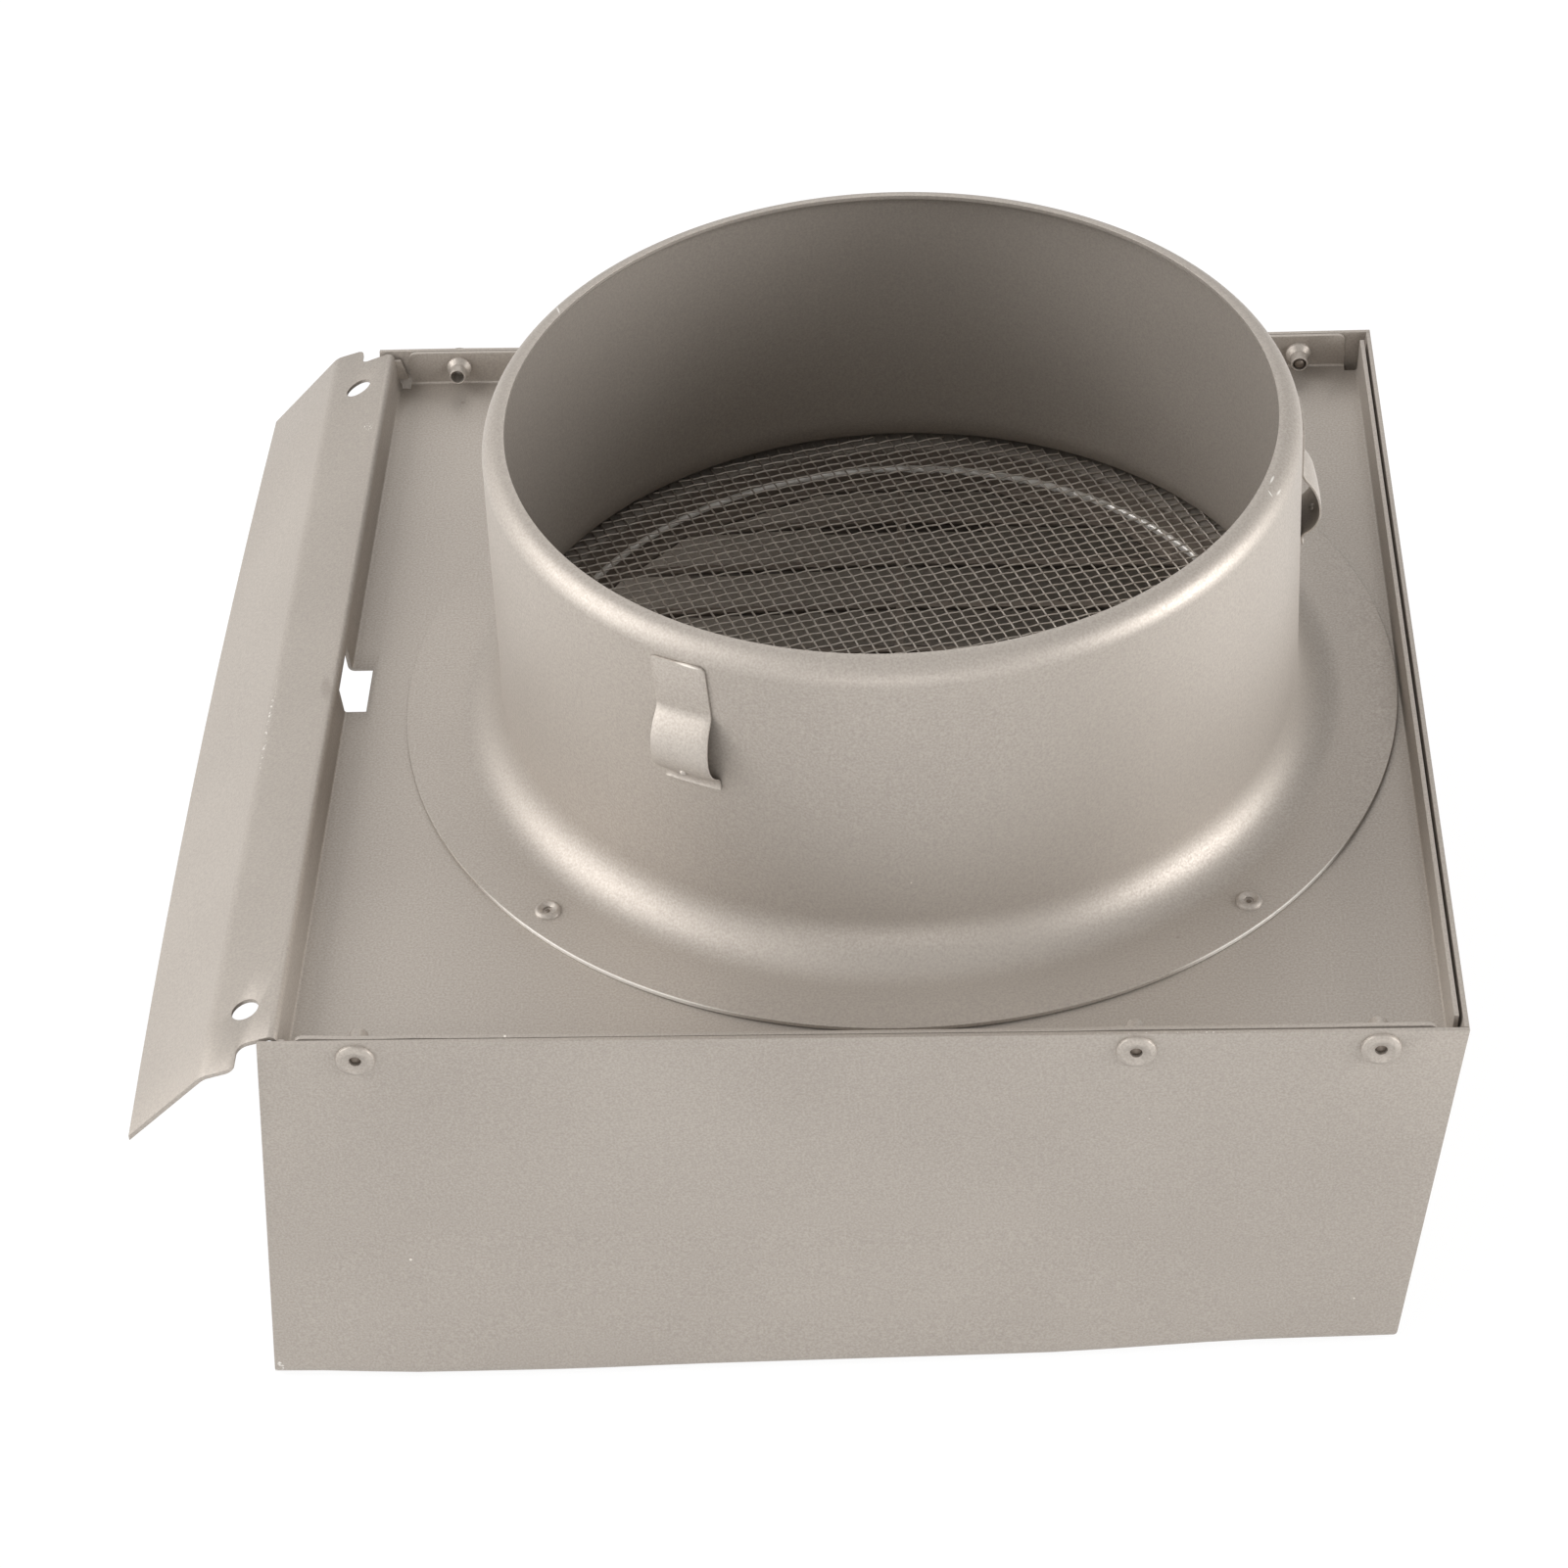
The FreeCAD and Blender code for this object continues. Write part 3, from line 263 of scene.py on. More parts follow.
def sprayed_metallic_paint(name, colours):
    """Metallic spray paint on sheet steel, baked to a satin skin.

    It looks warm grey, with flakes that glitter a little, a broad soft sheen,
    pale dust nibs, and bare bright lines where edges have rubbed.
    """
    material, tree, output = new_material(name)
    place = in_millimetres(tree)
    flakes, glitter = flakes_in(tree, place, 0.05, 0.8)
    # The coat's thickness drifts over 40 mm
    drift = add_node(tree, "ShaderNodeTexNoise", {"Vector": place, "Scale": 0.025, "Detail": 1.0})
    clouds = add_node(
        tree, "ShaderNodeMapRange", {0: drift.outputs[0], 1: 0.3, 2: 0.7, 3: -0.12, 4: 0.12}
    )
    share = add_node(tree, "ShaderNodeMath", {0: glitter, 1: clouds.outputs[0]}, use_clamp=True)
    skin = blended(tree, share.outputs[0], linear(colours.paint), linear(colours.flake))
    # Nibs are up to 0.6 mm across, and there is about one in 100 by 100 mm
    cells = add_node(tree, "ShaderNodeTexVoronoi", {"Vector": place, "Scale": 0.07})
    inside = add_node(
        tree,
        "ShaderNodeMapRange",
        {0: cells.outputs["Distance"], 1: 0.014, 2: 0.022, 3: 1.0, 4: 0.0},
    )
    chosen = add_node(
        tree, "ShaderNodeMath", {0: cells.outputs["Color"], 1: 0.6}, operation="GREATER_THAN"
    )
    nib = add_node(
        tree, "ShaderNodeMath", {0: inside.outputs[0], 1: chosen.outputs[0]}, operation="MULTIPLY"
    )
    skin = blended(tree, nib.outputs[0], skin, linear(colours.speck))
    # Smudges are faint
    smudged = most_of(tree, [spot(tree, place, *mark) for mark in SMUDGES])
    faint = add_node(tree, "ShaderNodeMath", {0: smudged, 1: 0.25}, operation="MULTIPLY")
    skin = blended(tree, faint.outputs[0], skin, linear(colours.grime))
    # Chips break up at 0.6 mm grit
    grit = add_node(tree, "ShaderNodeTexNoise", {"Vector": place, "Scale": 1.7, "Detail": 3.0})
    near = most_of(tree, [spot(tree, place, *mark) for mark in CHIPS])
    broken = add_node(tree, "ShaderNodeMath", {0: near, 1: grit.outputs[0]}, operation="MULTIPLY")
    chipped = add_node(
        tree, "ShaderNodeMapRange", {0: broken.outputs[0], 1: 0.57, 2: 0.63, 3: 0.0, 4: 1.0}
    )
    scratched = most_of(tree, [spot(tree, place, *mark) for mark in SCRATCHES])
    # The flange's edge is rubbed bright where it lies between two of its rivets
    edge = add_node(
        tree, "ShaderNodeMath", {0: off_axis(tree, place), 1: 93.35, 2: 0.2}, operation="COMPARE"
    )
    high = add_node(tree, "ShaderNodeSeparateXYZ", {0: place})
    above = add_node(
        tree, "ShaderNodeMath", {0: high.outputs["Z"], 1: -7.4}, operation="GREATER_THAN"
    )
    arcs = most_of(tree, [spot(tree, place, *mark) for mark in FLANGE_WEAR])
    worn = add_node(
        tree, "ShaderNodeMath", {0: edge.outputs[0], 1: above.outputs[0]}, operation="MULTIPLY"
    )
    worn = add_node(tree, "ShaderNodeMath", {0: worn.outputs[0], 1: arcs}, operation="MULTIPLY")
    bare = most_of(tree, [chipped.outputs[0], scratched, worn.outputs[0]])
    skin = blended(tree, bare, skin, linear(colours.bare))
    gloss = add_node(tree, "ShaderNodeMapRange", {0: flakes, 1: 0.3, 2: 0.7, 3: 0.56, 4: 0.46})
    # The skin has a fine orange peel of 1.5 mm
    peel = add_node(tree, "ShaderNodeTexNoise", {"Vector": place, "Scale": 0.65, "Detail": 1.0})
    peeled = add_node(
        tree, "ShaderNodeBump", {"Height": peel.outputs[0], "Distance": 0.00006, "Strength": 0.12}
    )
    bump = add_node(
        tree,
        "ShaderNodeBump",
        {"Height": flakes, "Distance": 0.00003, "Strength": 0.3, "Normal": peeled.outputs[0]},
    )
    shader = add_node(
        tree,
        "ShaderNodeBsdfPrincipled",
        {
            "Base Color": skin,
            "Metallic": 0.55,
            "Roughness": gloss.outputs[0],
            "Normal": bump.outputs[0],
        },
    )
    tree.links.new(shader.outputs[0], output.inputs[0])
    return material


def sprayed_spring_steel(name, colours):
    """Spring steel strip under the same spray paint, thin and bright where the duct rubs.

    The bow looks a little paler than the collar, one edge has a brown line of rust, and the
    front spring's head a bright one.
    """
    material, tree, output = new_material(name)
    place = in_millimetres(tree)
    flakes, glitter = flakes_in(tree, place, 0.1, 1.0)
    skin = blended(tree, glitter, linear(colours.paint), linear(colours.flake))
    # The bow stands furthest from the collar, so it is rubbed first
    rubbed = add_node(
        tree, "ShaderNodeMapRange", {0: off_axis(tree, place), 1: 76.4, 2: 78.4, 3: 0.0, 4: 0.15}
    )
    skin = blended(tree, rubbed.outputs[0], skin, linear(colours.bare))
    grit = add_node(tree, "ShaderNodeTexNoise", {"Vector": place, "Scale": 2.0, "Detail": 3.0})
    edge = spot(tree, place, (-30.7, -68.0, 49.0), (0.9, 0.9, 3.5))
    rusty = add_node(tree, "ShaderNodeMath", {0: edge, 1: grit.outputs[0]}, operation="MULTIPLY")
    rusted = add_node(
        tree, "ShaderNodeMapRange", {0: rusty.outputs[0], 1: 0.4, 2: 0.55, 3: 0.0, 4: 0.8}
    )
    skin = blended(tree, rusted.outputs[0], skin, linear(colours.rust))
    bright = spot(tree, place, (-33.6, -65.9, 52.4), (2.6, 0.8, 0.3), -27.0)
    skin = blended(tree, bright, skin, linear(colours.speck))
    bump = add_node(
        tree, "ShaderNodeBump", {"Height": flakes, "Distance": 0.00003, "Strength": 0.25}
    )
    shader = add_node(
        tree,
        "ShaderNodeBsdfPrincipled",
        {"Base Color": skin, "Metallic": 0.5, "Roughness": 0.52, "Normal": bump.outputs[0]},
    )
    tree.links.new(shader.outputs[0], output.inputs[0])
    return material


def sheet_with_painted_shade(name, colours):
    """Sheet with a zinc coat, painted darker than the cap's paint as painted shade.

    The slats are painted dark as painted shade and look dull behind the wires, the bars a little
    paler, the mouth's side paler as painted light, and the bend of the shoulder under the collar
    is painted pale as a painted highlight, and is glossier.
    """
    material, tree, output = new_material(name)
    place = in_millimetres(tree)
    # The shoulder's bend is painted pale over 1 mm, a painted highlight
    bend = add_node(
        tree, "ShaderNodeMath", {0: off_axis(tree, place), 1: 69.9, 2: 0.5}, operation="COMPARE"
    )
    # Painted shade: below the bars' level, where the slats turn down, the sheet is painted dark
    high = add_node(tree, "ShaderNodeSeparateXYZ", {0: place})
    at_bar_level = add_node(
        tree, "ShaderNodeMapRange", {0: high.outputs["Z"], 1: -12.2, 2: -11.7, 3: 0.0, 4: 1.0}
    )
    # Dirt lies in soft patches of 8 mm
    drift = add_node(tree, "ShaderNodeTexNoise", {"Vector": place, "Scale": 0.12, "Detail": 2.0})
    patches = add_node(
        tree, "ShaderNodeMapRange", {0: drift.outputs[0], 1: 0.35, 2: 0.65, 3: 0.0, 4: 0.35}
    )
    # The slats get the painted deep shade and the bars the painted half shade
    skin = blended(tree, at_bar_level.outputs[0], linear(colours.painted_deep_shade), linear(colours.painted_half_shade))
    # Painted light: the sheet is painted paler towards the mouth's side, where light comes in
    mouth_side_light = add_node(
        tree, "ShaderNodeMapRange", {0: high.outputs["X"], 1: -30.0, 2: -58.0, 3: 0.0, 4: 0.6}
    )
    skin = blended(tree, patches.outputs[0], skin, linear(colours.grime))
    skin = blended(tree, mouth_side_light.outputs[0], skin, linear(colours.painted_half_shade))
    # A painted highlight: the bend gets the pale bare metal colour
    skin = blended(tree, bend.outputs[0], skin, linear(colours.bare))
    gloss = add_node(
        tree, "ShaderNodeMapRange", {0: bend.outputs[0], 1: 0.0, 2: 1.0, 3: 0.6, 4: 0.36}
    )
    shader = add_node(
        tree,
        "ShaderNodeBsdfPrincipled",
        {"Base Color": skin, "Metallic": 0.5, "Roughness": gloss.outputs[0]},
    )
    tree.links.new(shader.outputs[0], output.inputs[0])
    return material


def oversprayed_wire(name, colours):
    """Galvanised wire with a thin coat of overspray, so it is paler and duller than steel."""
    material, tree, output = new_material(name)
    place = in_millimetres(tree)
    # The coat changes over 1.7 mm
    mottle = add_node(tree, "ShaderNodeTexNoise", {"Vector": place, "Scale": 0.6, "Detail": 3.0})
    patches = add_node(
        tree, "ShaderNodeMapRange", {0: mottle.outputs[0], 1: 0.35, 2: 0.65, 3: 0.0, 4: 1.0}
    )
    coat = blended(tree, patches.outputs[0], linear(colours.wire), linear(colours.flake))
    shader = add_node(
        tree, "ShaderNodeBsdfPrincipled", {"Base Color": coat, "Metallic": 0.6, "Roughness": 0.4}
    )
    tree.links.new(shader.outputs[0], output.inputs[0])
    return material


def snapped_steel(name, colours):
    """Drawn steel, snapped and painted over thinly, so it is darker and rougher than the rivets."""
    material, tree, output = new_material(name)
    place = in_millimetres(tree)
    # The break has a grain of 0.3 mm
    grit = add_node(tree, "ShaderNodeTexNoise", {"Vector": place, "Scale": 3.0, "Detail": 3.0})
    rough = add_node(
        tree, "ShaderNodeMapRange", {0: grit.outputs[0], 1: 0.3, 2: 0.7, 3: 0.35, 4: 0.6}
    )
    shader = add_node(
        tree,
        "ShaderNodeBsdfPrincipled",
        {"Base Color": linear(colours.pin), "Metallic": 0.8, "Roughness": rough.outputs[0]},
    )
    tree.links.new(shader.outputs[0], output.inputs[0])
    return material


def material_once(maker, name):
    """The material with that name, made on its first use."""
    return bpy.data.materials.get(name) or maker(name, bpy.context.scene.vent_cap_colours)


def painted():
    """The cap's paint."""
    return material_once(sprayed_metallic_paint, "sprayed metallic paint")


def dress(piece, material):
    """Give a piece one material all over."""
    piece.data.materials.clear()
    piece.data.materials.append(material)


def only(piece):
    """Select one piece alone, in object mode."""
    if bpy.context.mode != "OBJECT":
        bpy.ops.object.mode_set(mode="OBJECT")
    bpy.ops.object.select_all(action="DESELECT")
    piece.select_set(True)
    bpy.context.view_layer.objects.active = piece


def start_piece(name):
    """The primitive that was just added, renamed and opened in edit mode, all selected."""
    piece = bpy.context.object
    piece.name = name
    piece.data.name = name
    bpy.ops.object.mode_set(mode="EDIT")
    bpy.ops.mesh.select_all(action="SELECT")
    return piece


def fix_place(piece):
    """Move the piece's place and turn into its mesh."""
    only(piece)
    bpy.ops.object.transform_apply(location=True, rotation=True, scale=True)


def hand_over(piece, material, slot, *nodes):
    """Finish a piece: its material, its body and the solids it stands for. The slot is not used."""
    dress(piece, material)
    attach(piece, "root")
    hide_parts(*nodes)


def own_copy(piece, name):
    """A copy of a piece with its own mesh."""
    only(piece)
    bpy.ops.object.duplicate()
    twin = bpy.context.object
    twin.name = name
    twin.data.name = name
    return twin


def merged_copy(node, name):
    """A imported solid's mesh as a new piece, its triangles merged to whole faces, in edit mode."""
    piece = bpy.data.objects.new(name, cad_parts[node].data.copy())
    bpy.context.collection.objects.link(piece)
    only(piece)
    bpy.ops.mesh.customdata_custom_splitnormals_clear()
    bpy.ops.object.mode_set(mode="EDIT")
    bpy.ops.mesh.select_all(action="SELECT")
    bpy.ops.mesh.remove_doubles(threshold=0.002 * MM)
    bpy.ops.mesh.dissolve_limited(angle_limit=math.radians(0.4))
    return piece


def round_sharp_edges(width, steps):
    """Bevel the sharp edges of the piece in edit mode."""
    bpy.ops.mesh.select_mode(type="EDGE")
    bpy.ops.mesh.select_all(action="DESELECT")
    bpy.ops.mesh.edges_select_sharp(sharpness=math.radians(50))
    bpy.ops.mesh.bevel(offset=width, segments=steps, clamp_overlap=True)
    bpy.ops.mesh.select_mode(type="VERT")


def cut_across(axis, start, stop, step):
    """Bisect the piece in edit mode into strips of one width, so that it bends smoothly."""
    normal = Vector((axis == "x", axis == "y", axis == "z"))
    count = int((stop - start) / step)
    for number in range(1, count):
        bpy.ops.mesh.select_all(action="SELECT")
        bpy.ops.mesh.bisect(plane_co=normal * (start + number * step), plane_no=normal)


def rise(value, low, high):
    """A smooth step from 0 at low to 1 at high, whichever way they lie."""
    share = min(max((value - low) / (high - low), 0.0), 1.0)
    return share * share * (3 - 2 * share)


def settled(place, sizes):
    """How far hands and handling have moved the thin sheet at a place in millimetres."""
    x, y, z = place
    along = rise(x, -118, -84) * rise(x, 68, 22) + 0.15 * rise(x, -85, -62) * rise(x, -35, -60)
    out = -sizes.side_bulge * along * rise(z, -42, -76) * rise(y, -60, -98)
    # The fixing strip's ends reach past the sides and stay straight
    between_sides = abs(y) < 102.5
    bow = (0.4 + 0.6 * rise(x, -50, -100)) * between_sides
    out += sizes.far_bow * bow * rise(z, -70, -12) * rise(y, 45, 98) * rise(x, -116, -109)
    return Vector((0, out, 0))


def bend_all(piece, move):
    """Move every vertex by what the function gives for its place in millimetres."""
    only(piece)
    for vertex in piece.data.vertices:
        vertex.co += move(vertex.co / MM)
    piece.data.update()


def smooth_faces(piece, degrees):
    """Shade smooth, apart from edges sharper than the angle."""
    only(piece)
    bpy.ops.object.shade_smooth_by_angle(angle=math.radians(degrees))


def draw_outline(name, points):
    """A closed outline in the XZ plane, drawn vertex by vertex in edit mode."""
    bpy.ops.object.select_all(action="DESELECT")
    bpy.ops.mesh.primitive_plane_add(size=MM)
    piece = start_piece(name)
    bpy.ops.mesh.merge(type="CENTER")
    bpy.ops.transform.translate(value=(points[0][0], 0, points[0][1]))
    here = points[0]
    for there in points[1:] + points[:1]:
        bpy.ops.mesh.extrude_region_move(
            TRANSFORM_OT_translate={"value": (there[0] - here[0], 0, there[1] - here[1])}
        )
        here = there
    bpy.ops.mesh.select_all(action="SELECT")
    bpy.ops.mesh.remove_doubles(threshold=SAME_PLACE)
    return piece


def spin_outline(steps, turn=2 * math.pi):
    """Spin the drawn outline round Z, anticlockwise, and turn its faces outwards."""
    bpy.ops.mesh.spin(steps=steps, angle=-turn, center=(0, 0, 0), axis=(0, 0, 1))
    bpy.ops.mesh.select_all(action="SELECT")
    bpy.ops.mesh.remove_doubles(threshold=SAME_PLACE)
    bpy.ops.mesh.normals_make_consistent(inside=False)


def rounded(corners, turn_step=12.0):
    """Points of a closed outline with its corners rounded. A corner is (x, z, radius)."""
    points = []
    for number, (x, z, radius) in enumerate(corners):
        here = Vector((x, z))
        before = (Vector(corners[number - 1][:2]) - here).normalized()
        after = (Vector(corners[(number + 1) % len(corners)][:2]) - here).normalized()
        half = before.angle(after) / 2
        if radius == 0 or half > math.radians(89):
            points.append((x, z))
            continue
        middle = here + (before + after).normalized() * (radius / math.sin(half))
        start = here + before * (radius / math.tan(half)) - middle
        sweep = start.angle_signed(here + after * (radius / math.tan(half)) - middle)
        steps = max(1, math.ceil(abs(math.degrees(sweep)) / turn_step))
        for step in range(steps + 1):
            part = sweep * step / steps
            # angle_signed is clockwise
            cos, sin = math.cos(-part), math.sin(-part)
            across, up = start.x * cos - start.y * sin, start.x * sin + start.y * cos
            points.append((middle.x + across, middle.y + up))
    return points


class VENTCAP_OT_hood_cover(bpy.types.Operator):
    """Round the folded cover's cut edges and bend its sides as handling has"""

    bl_idname = "vent_cap.hood_cover"
    bl_label = "Hood cover"
    fine_strip, wide_strip = 9 * MM, 12 * MM

    def execute(self, context):
        sizes = context.scene.vent_cap_sizes
        piece = merged_copy("hood_cover", "folded_cover")
        round_sharp_edges(sizes.sheet_edge, 2)
        cut_across("x", COVER_LOW.x, COVER_HIGH.x, self.fine_strip)
        cut_across("z", COVER_LOW.z, COVER_HIGH.z, self.fine_strip)
        cut_across("y", COVER_LOW.y, COVER_HIGH.y, self.wide_strip)
        bend_all(piece, lambda place: settled(place, sizes))
        smooth_faces(piece, 30)
        hand_over(piece, painted(), PAINT_SLOT, "hood_cover")
        return {"FINISHED"}


class VENTCAP_OT_back_plate(bpy.types.Operator):
    """Round the back plate's cut edges, and spring its flange off the cover between the rivets"""

    bl_idname = "vent_cap.back_plate"
    bl_label = "Back plate"
    fine_strip, wide_strip = 6 * MM, 12 * MM

    def pressed(self, place, sizes):
        """The sides' bow, and the gap that opens along the near flange's edge."""
        x, y, z = place
        gap = 0.2 * rise(x, 28, 40) + 0.15 * rise(x, 72, 79) + 0.25 * rise(x, -94, -98)
        gap += 0.2 * rise(x, -88, -84) * rise(x, -79, -83)
        on_near_flange = y < -99.5 and x > -104
        off = Vector((0, gap * MM if on_near_flange else 0, 0))
        return settled(place, sizes) + off * rise(z, -5.5, -0.5)

    def execute(self, context):
        sizes = context.scene.vent_cap_sizes
        low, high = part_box("back_plate")
        piece = merged_copy("back_plate", "folded_back_plate")
        round_sharp_edges(sizes.sheet_edge, 2)
        cut_across("x", low.x, high.x, self.fine_strip)
        cut_across("y", low.y, high.y, self.wide_strip)
        bend_all(piece, lambda place: self.pressed(place, sizes))
        smooth_faces(piece, 30)
        hand_over(piece, painted(), PAINT_SLOT, "back_plate")
        return {"FINISHED"}


class VENTCAP_OT_duct_collar(bpy.types.Operator):
    """Spin the duct collar with its rolled rim, flare and flange"""

    bl_idname = "vent_cap.duct_collar"
    bl_label = "Duct collar"

    def execute(self, context):
        sizes = context.scene.vent_cap_sizes
        gauge, flare, rim = sizes.gauge, sizes.flare, sizes.rim_radius
        top, flange_low, reach = COLLAR_HIGH.z, COLLAR_LOW.z, COLLAR_HIGH.x
        taper = (sizes.collar_foot - sizes.collar_top) / (top - rim - flange_low - gauge - flare)
        wall_top = sizes.collar_top - taper * rim
        wall_foot = sizes.collar_foot + taper * flare
        edge = sizes.sheet_edge
        section = rounded(
            [
                (sizes.rim_reach, top, edge),
                (wall_top, top, rim),
                (wall_foot, flange_low + gauge, flare),
                (reach, flange_low + gauge, edge),
                (reach, flange_low, edge),
                (wall_foot - gauge, flange_low, flare + gauge),
                (wall_top - gauge, top - gauge, rim - gauge),
                (sizes.rim_reach, top - gauge, edge),
            ],
            6.0,
        )
        piece = draw_outline("spun_collar", section)
        spin_outline(256)

        def lifted(place):
            """The flange's edge stands off between its rivets, but not at the strip's side."""
            around = math.atan2(place.y, place.x)
            wave = (0.5 + 0.5 * math.cos(4 * around)) * rise(place.x, -80, -40)
            outwards = rise(math.hypot(place.x, place.y), 84, 93)
            return Vector((0, 0, sizes.flange_lift * wave * outwards))

        bend_all(piece, lifted)
        smooth_faces(piece, 35)
        hand_over(piece, painted(), PAINT_SLOT, "duct_collar")
        return {"FINISHED"}


class VENTCAP_OT_leaf_springs(bpy.types.Operator):
    """Bend one leaf spring from strip, and set a copy at each place"""

    bl_idname = "vent_cap.leaf_springs"
    bl_label = "Leaf springs"
    # Out to the bow, in to the heel and out again to the lip, each (radius, degrees outwards)
    bends = ((3.4 * MM, 42.0), (10.4 * MM, -42.0), (5.2 * MM, -56.0), (2.0 * MM, 90.0))
    # The seat's length, the air under the head and the seat, and the head's corners
    seat, air, seat_air, corner = 9.6 * MM, 0.05 * MM, 0.16 * MM, 1.2 * MM
    spacing = math.radians(119.65)
    nib_radius, nib_reach, nib_height = 0.75 * MM, 3.15 * MM, 30.7 * MM

    def strip(self, start, bends, thick):
        """The outline of a bent strip that starts straight down."""
        x, z = start
        inner, outer, heading = [], [], 0.0
        for radius, degrees in bends:
            steps = max(1, math.ceil(abs(degrees) / 6))
            for step in range(steps):
                inner.append((x, z))
                outer.append((x + thick * math.cos(heading), z + thick * math.sin(heading)))
                before, heading = heading, heading + math.radians(degrees) / steps
                way = math.copysign(radius, degrees)
                x += way * (math.cos(before) - math.cos(heading))
                z += way * (math.sin(before) - math.sin(heading))
        inner.append((x, z))
        outer.append((x + thick * math.cos(heading), z + thick * math.sin(heading)))
        return inner + outer[::-1]

    def execute(self, context):
        sizes = context.scene.vent_cap_sizes
        thick = sizes.spring_gauge
        head = COLLAR_HIGH.z - sizes.spring_drop
        face = sizes.collar_top + self.air
        outline = self.strip((face + self.seat_air, head - self.seat), self.bends, thick)
        outline = [(face, head)] + outline + [(face + thick, head)]
        width = sizes.spring_width / sizes.collar_top
        master = draw_outline("bent_spring", outline)
        spin_outline(8, width)
        bpy.ops.mesh.fill_holes(sides=0)
        bpy.ops.mesh.select_all(action="SELECT")
        bpy.ops.mesh.normals_make_consistent(inside=False)
        self.round_head(master, head, width)
        round_sharp_edges(0.05 * MM, 2)
        self.add_nib(sizes, width)
        smooth_faces(master, 35)
        master.rotation_euler.z = -width / 2
        fix_place(master)
        steel = material_once(sprayed_spring_steel, "sprayed spring steel")
        for number in range(3):
            piece = own_copy(master, "bent_spring_%d" % (number + 1))
            if number == 2:
                # Turned askew about its own head
                cant = sizes.spring_cant
                piece.rotation_euler.x = cant
                piece.location = (0, head * math.sin(cant), head * (1 - math.cos(cant)))
                fix_place(piece)
            piece.rotation_euler.z = sizes.spring_turn + self.spacing * number
            fix_place(piece)
            hand_over(piece, steel, PAINT_SLOT, "leaf_spring_%d" % (number + 1))
        bpy.data.objects.remove(master)
        return {"FINISHED"}

    def round_head(self, piece, head, width):
        """Round the strip's two upper corners."""
        bpy.ops.mesh.select_all(action="DESELECT")
        bpy.ops.object.mode_set(mode="OBJECT")
        for edge in piece.data.edges:
            ends = [piece.data.vertices[number].co for number in edge.vertices]
            high = all(end.z > head - 0.001 * MM for end in ends)
            turns = [math.atan2(end.y, end.x) for end in ends]
            at_side = max(turns) < 1e-4 or min(turns) > width - 1e-4
            edge.select = high and at_side
        bpy.ops.object.mode_set(mode="EDIT")
        bpy.ops.mesh.select_mode(type="EDGE")
        bpy.ops.mesh.bevel(offset=self.corner, segments=4, clamp_overlap=False)
        bpy.ops.mesh.select_mode(type="VERT")

    def add_nib(self, sizes, width):
        """A small pressed nib near the heel, drawn from a dome."""
        bpy.ops.mesh.select_all(action="DESELECT")
        reach = sizes.collar_top + self.nib_reach
        bpy.ops.mesh.primitive_uv_sphere_add(
            segments=16,
            ring_count=8,
            radius=self.nib_radius,
            location=(reach * math.cos(width / 2), reach * math.sin(width / 2), self.nib_height),
        )


class VENTCAP_OT_louvre_plate(bpy.types.Operator):
    """Draw the louvre plate's shoulder in under the screen, so that it shows as a ring with a
    painted highlight
    """

    bl_idname = "vent_cap.louvre_plate"
    bl_label = "Louvre plate"
    # Millimetres: the bars, and radii of the dish before and after its shoulder is drawn in
    bar_pitch, bar_offset, half_bar, half_rib, barred = 13.8, 2.0, 1.4, 2.0, 73.0
    drawn = ((0, 0), (58, 57.6), (71.6, 67.7), (74.9, 69.2), (77.0, 70.6), (84, 83.4), (95, 95))

    def drawn_in(self, place):
        """Slots, wall and shoulder move in towards the middle, and the clamped ring stays."""
        reach = math.hypot(place.x, place.y)
        new = next(
            new_low + (reach - low) * (new_high - new_low) / (high - low)
            for (low, new_low), (high, new_high) in zip(self.drawn, self.drawn[1:])
            if reach <= high
        )
        off = Vector((place.x, place.y, 0)) * (new / reach - 1 if reach else 0)
        # The bars and the rib are pressed narrower than they are cut
        from_bar = (place.y - self.bar_offset) % self.bar_pitch
        from_bar -= self.bar_pitch if from_bar > self.bar_pitch / 2 else 0
        if reach < self.barred and abs(from_bar) < self.half_bar:
            off.y -= 0.45 * from_bar
        if reach < self.barred and abs(place.x) < self.half_rib:
            off.x -= 0.5 * place.x
        return off * MM

    def execute(self, context):
        piece = merged_copy("louvre_plate", "pressed_louvres")
        bend_all(piece, self.drawn_in)
        smooth_faces(piece, 35)
        # Its material paints shade on the plate, light on the mouth's side and a highlight on the
        # shoulder
        sheet = material_once(sheet_with_painted_shade, "zinc sheet with painted shade")
        hand_over(piece, sheet, "inner_paint", "louvre_plate")
        return {"FINISHED"}


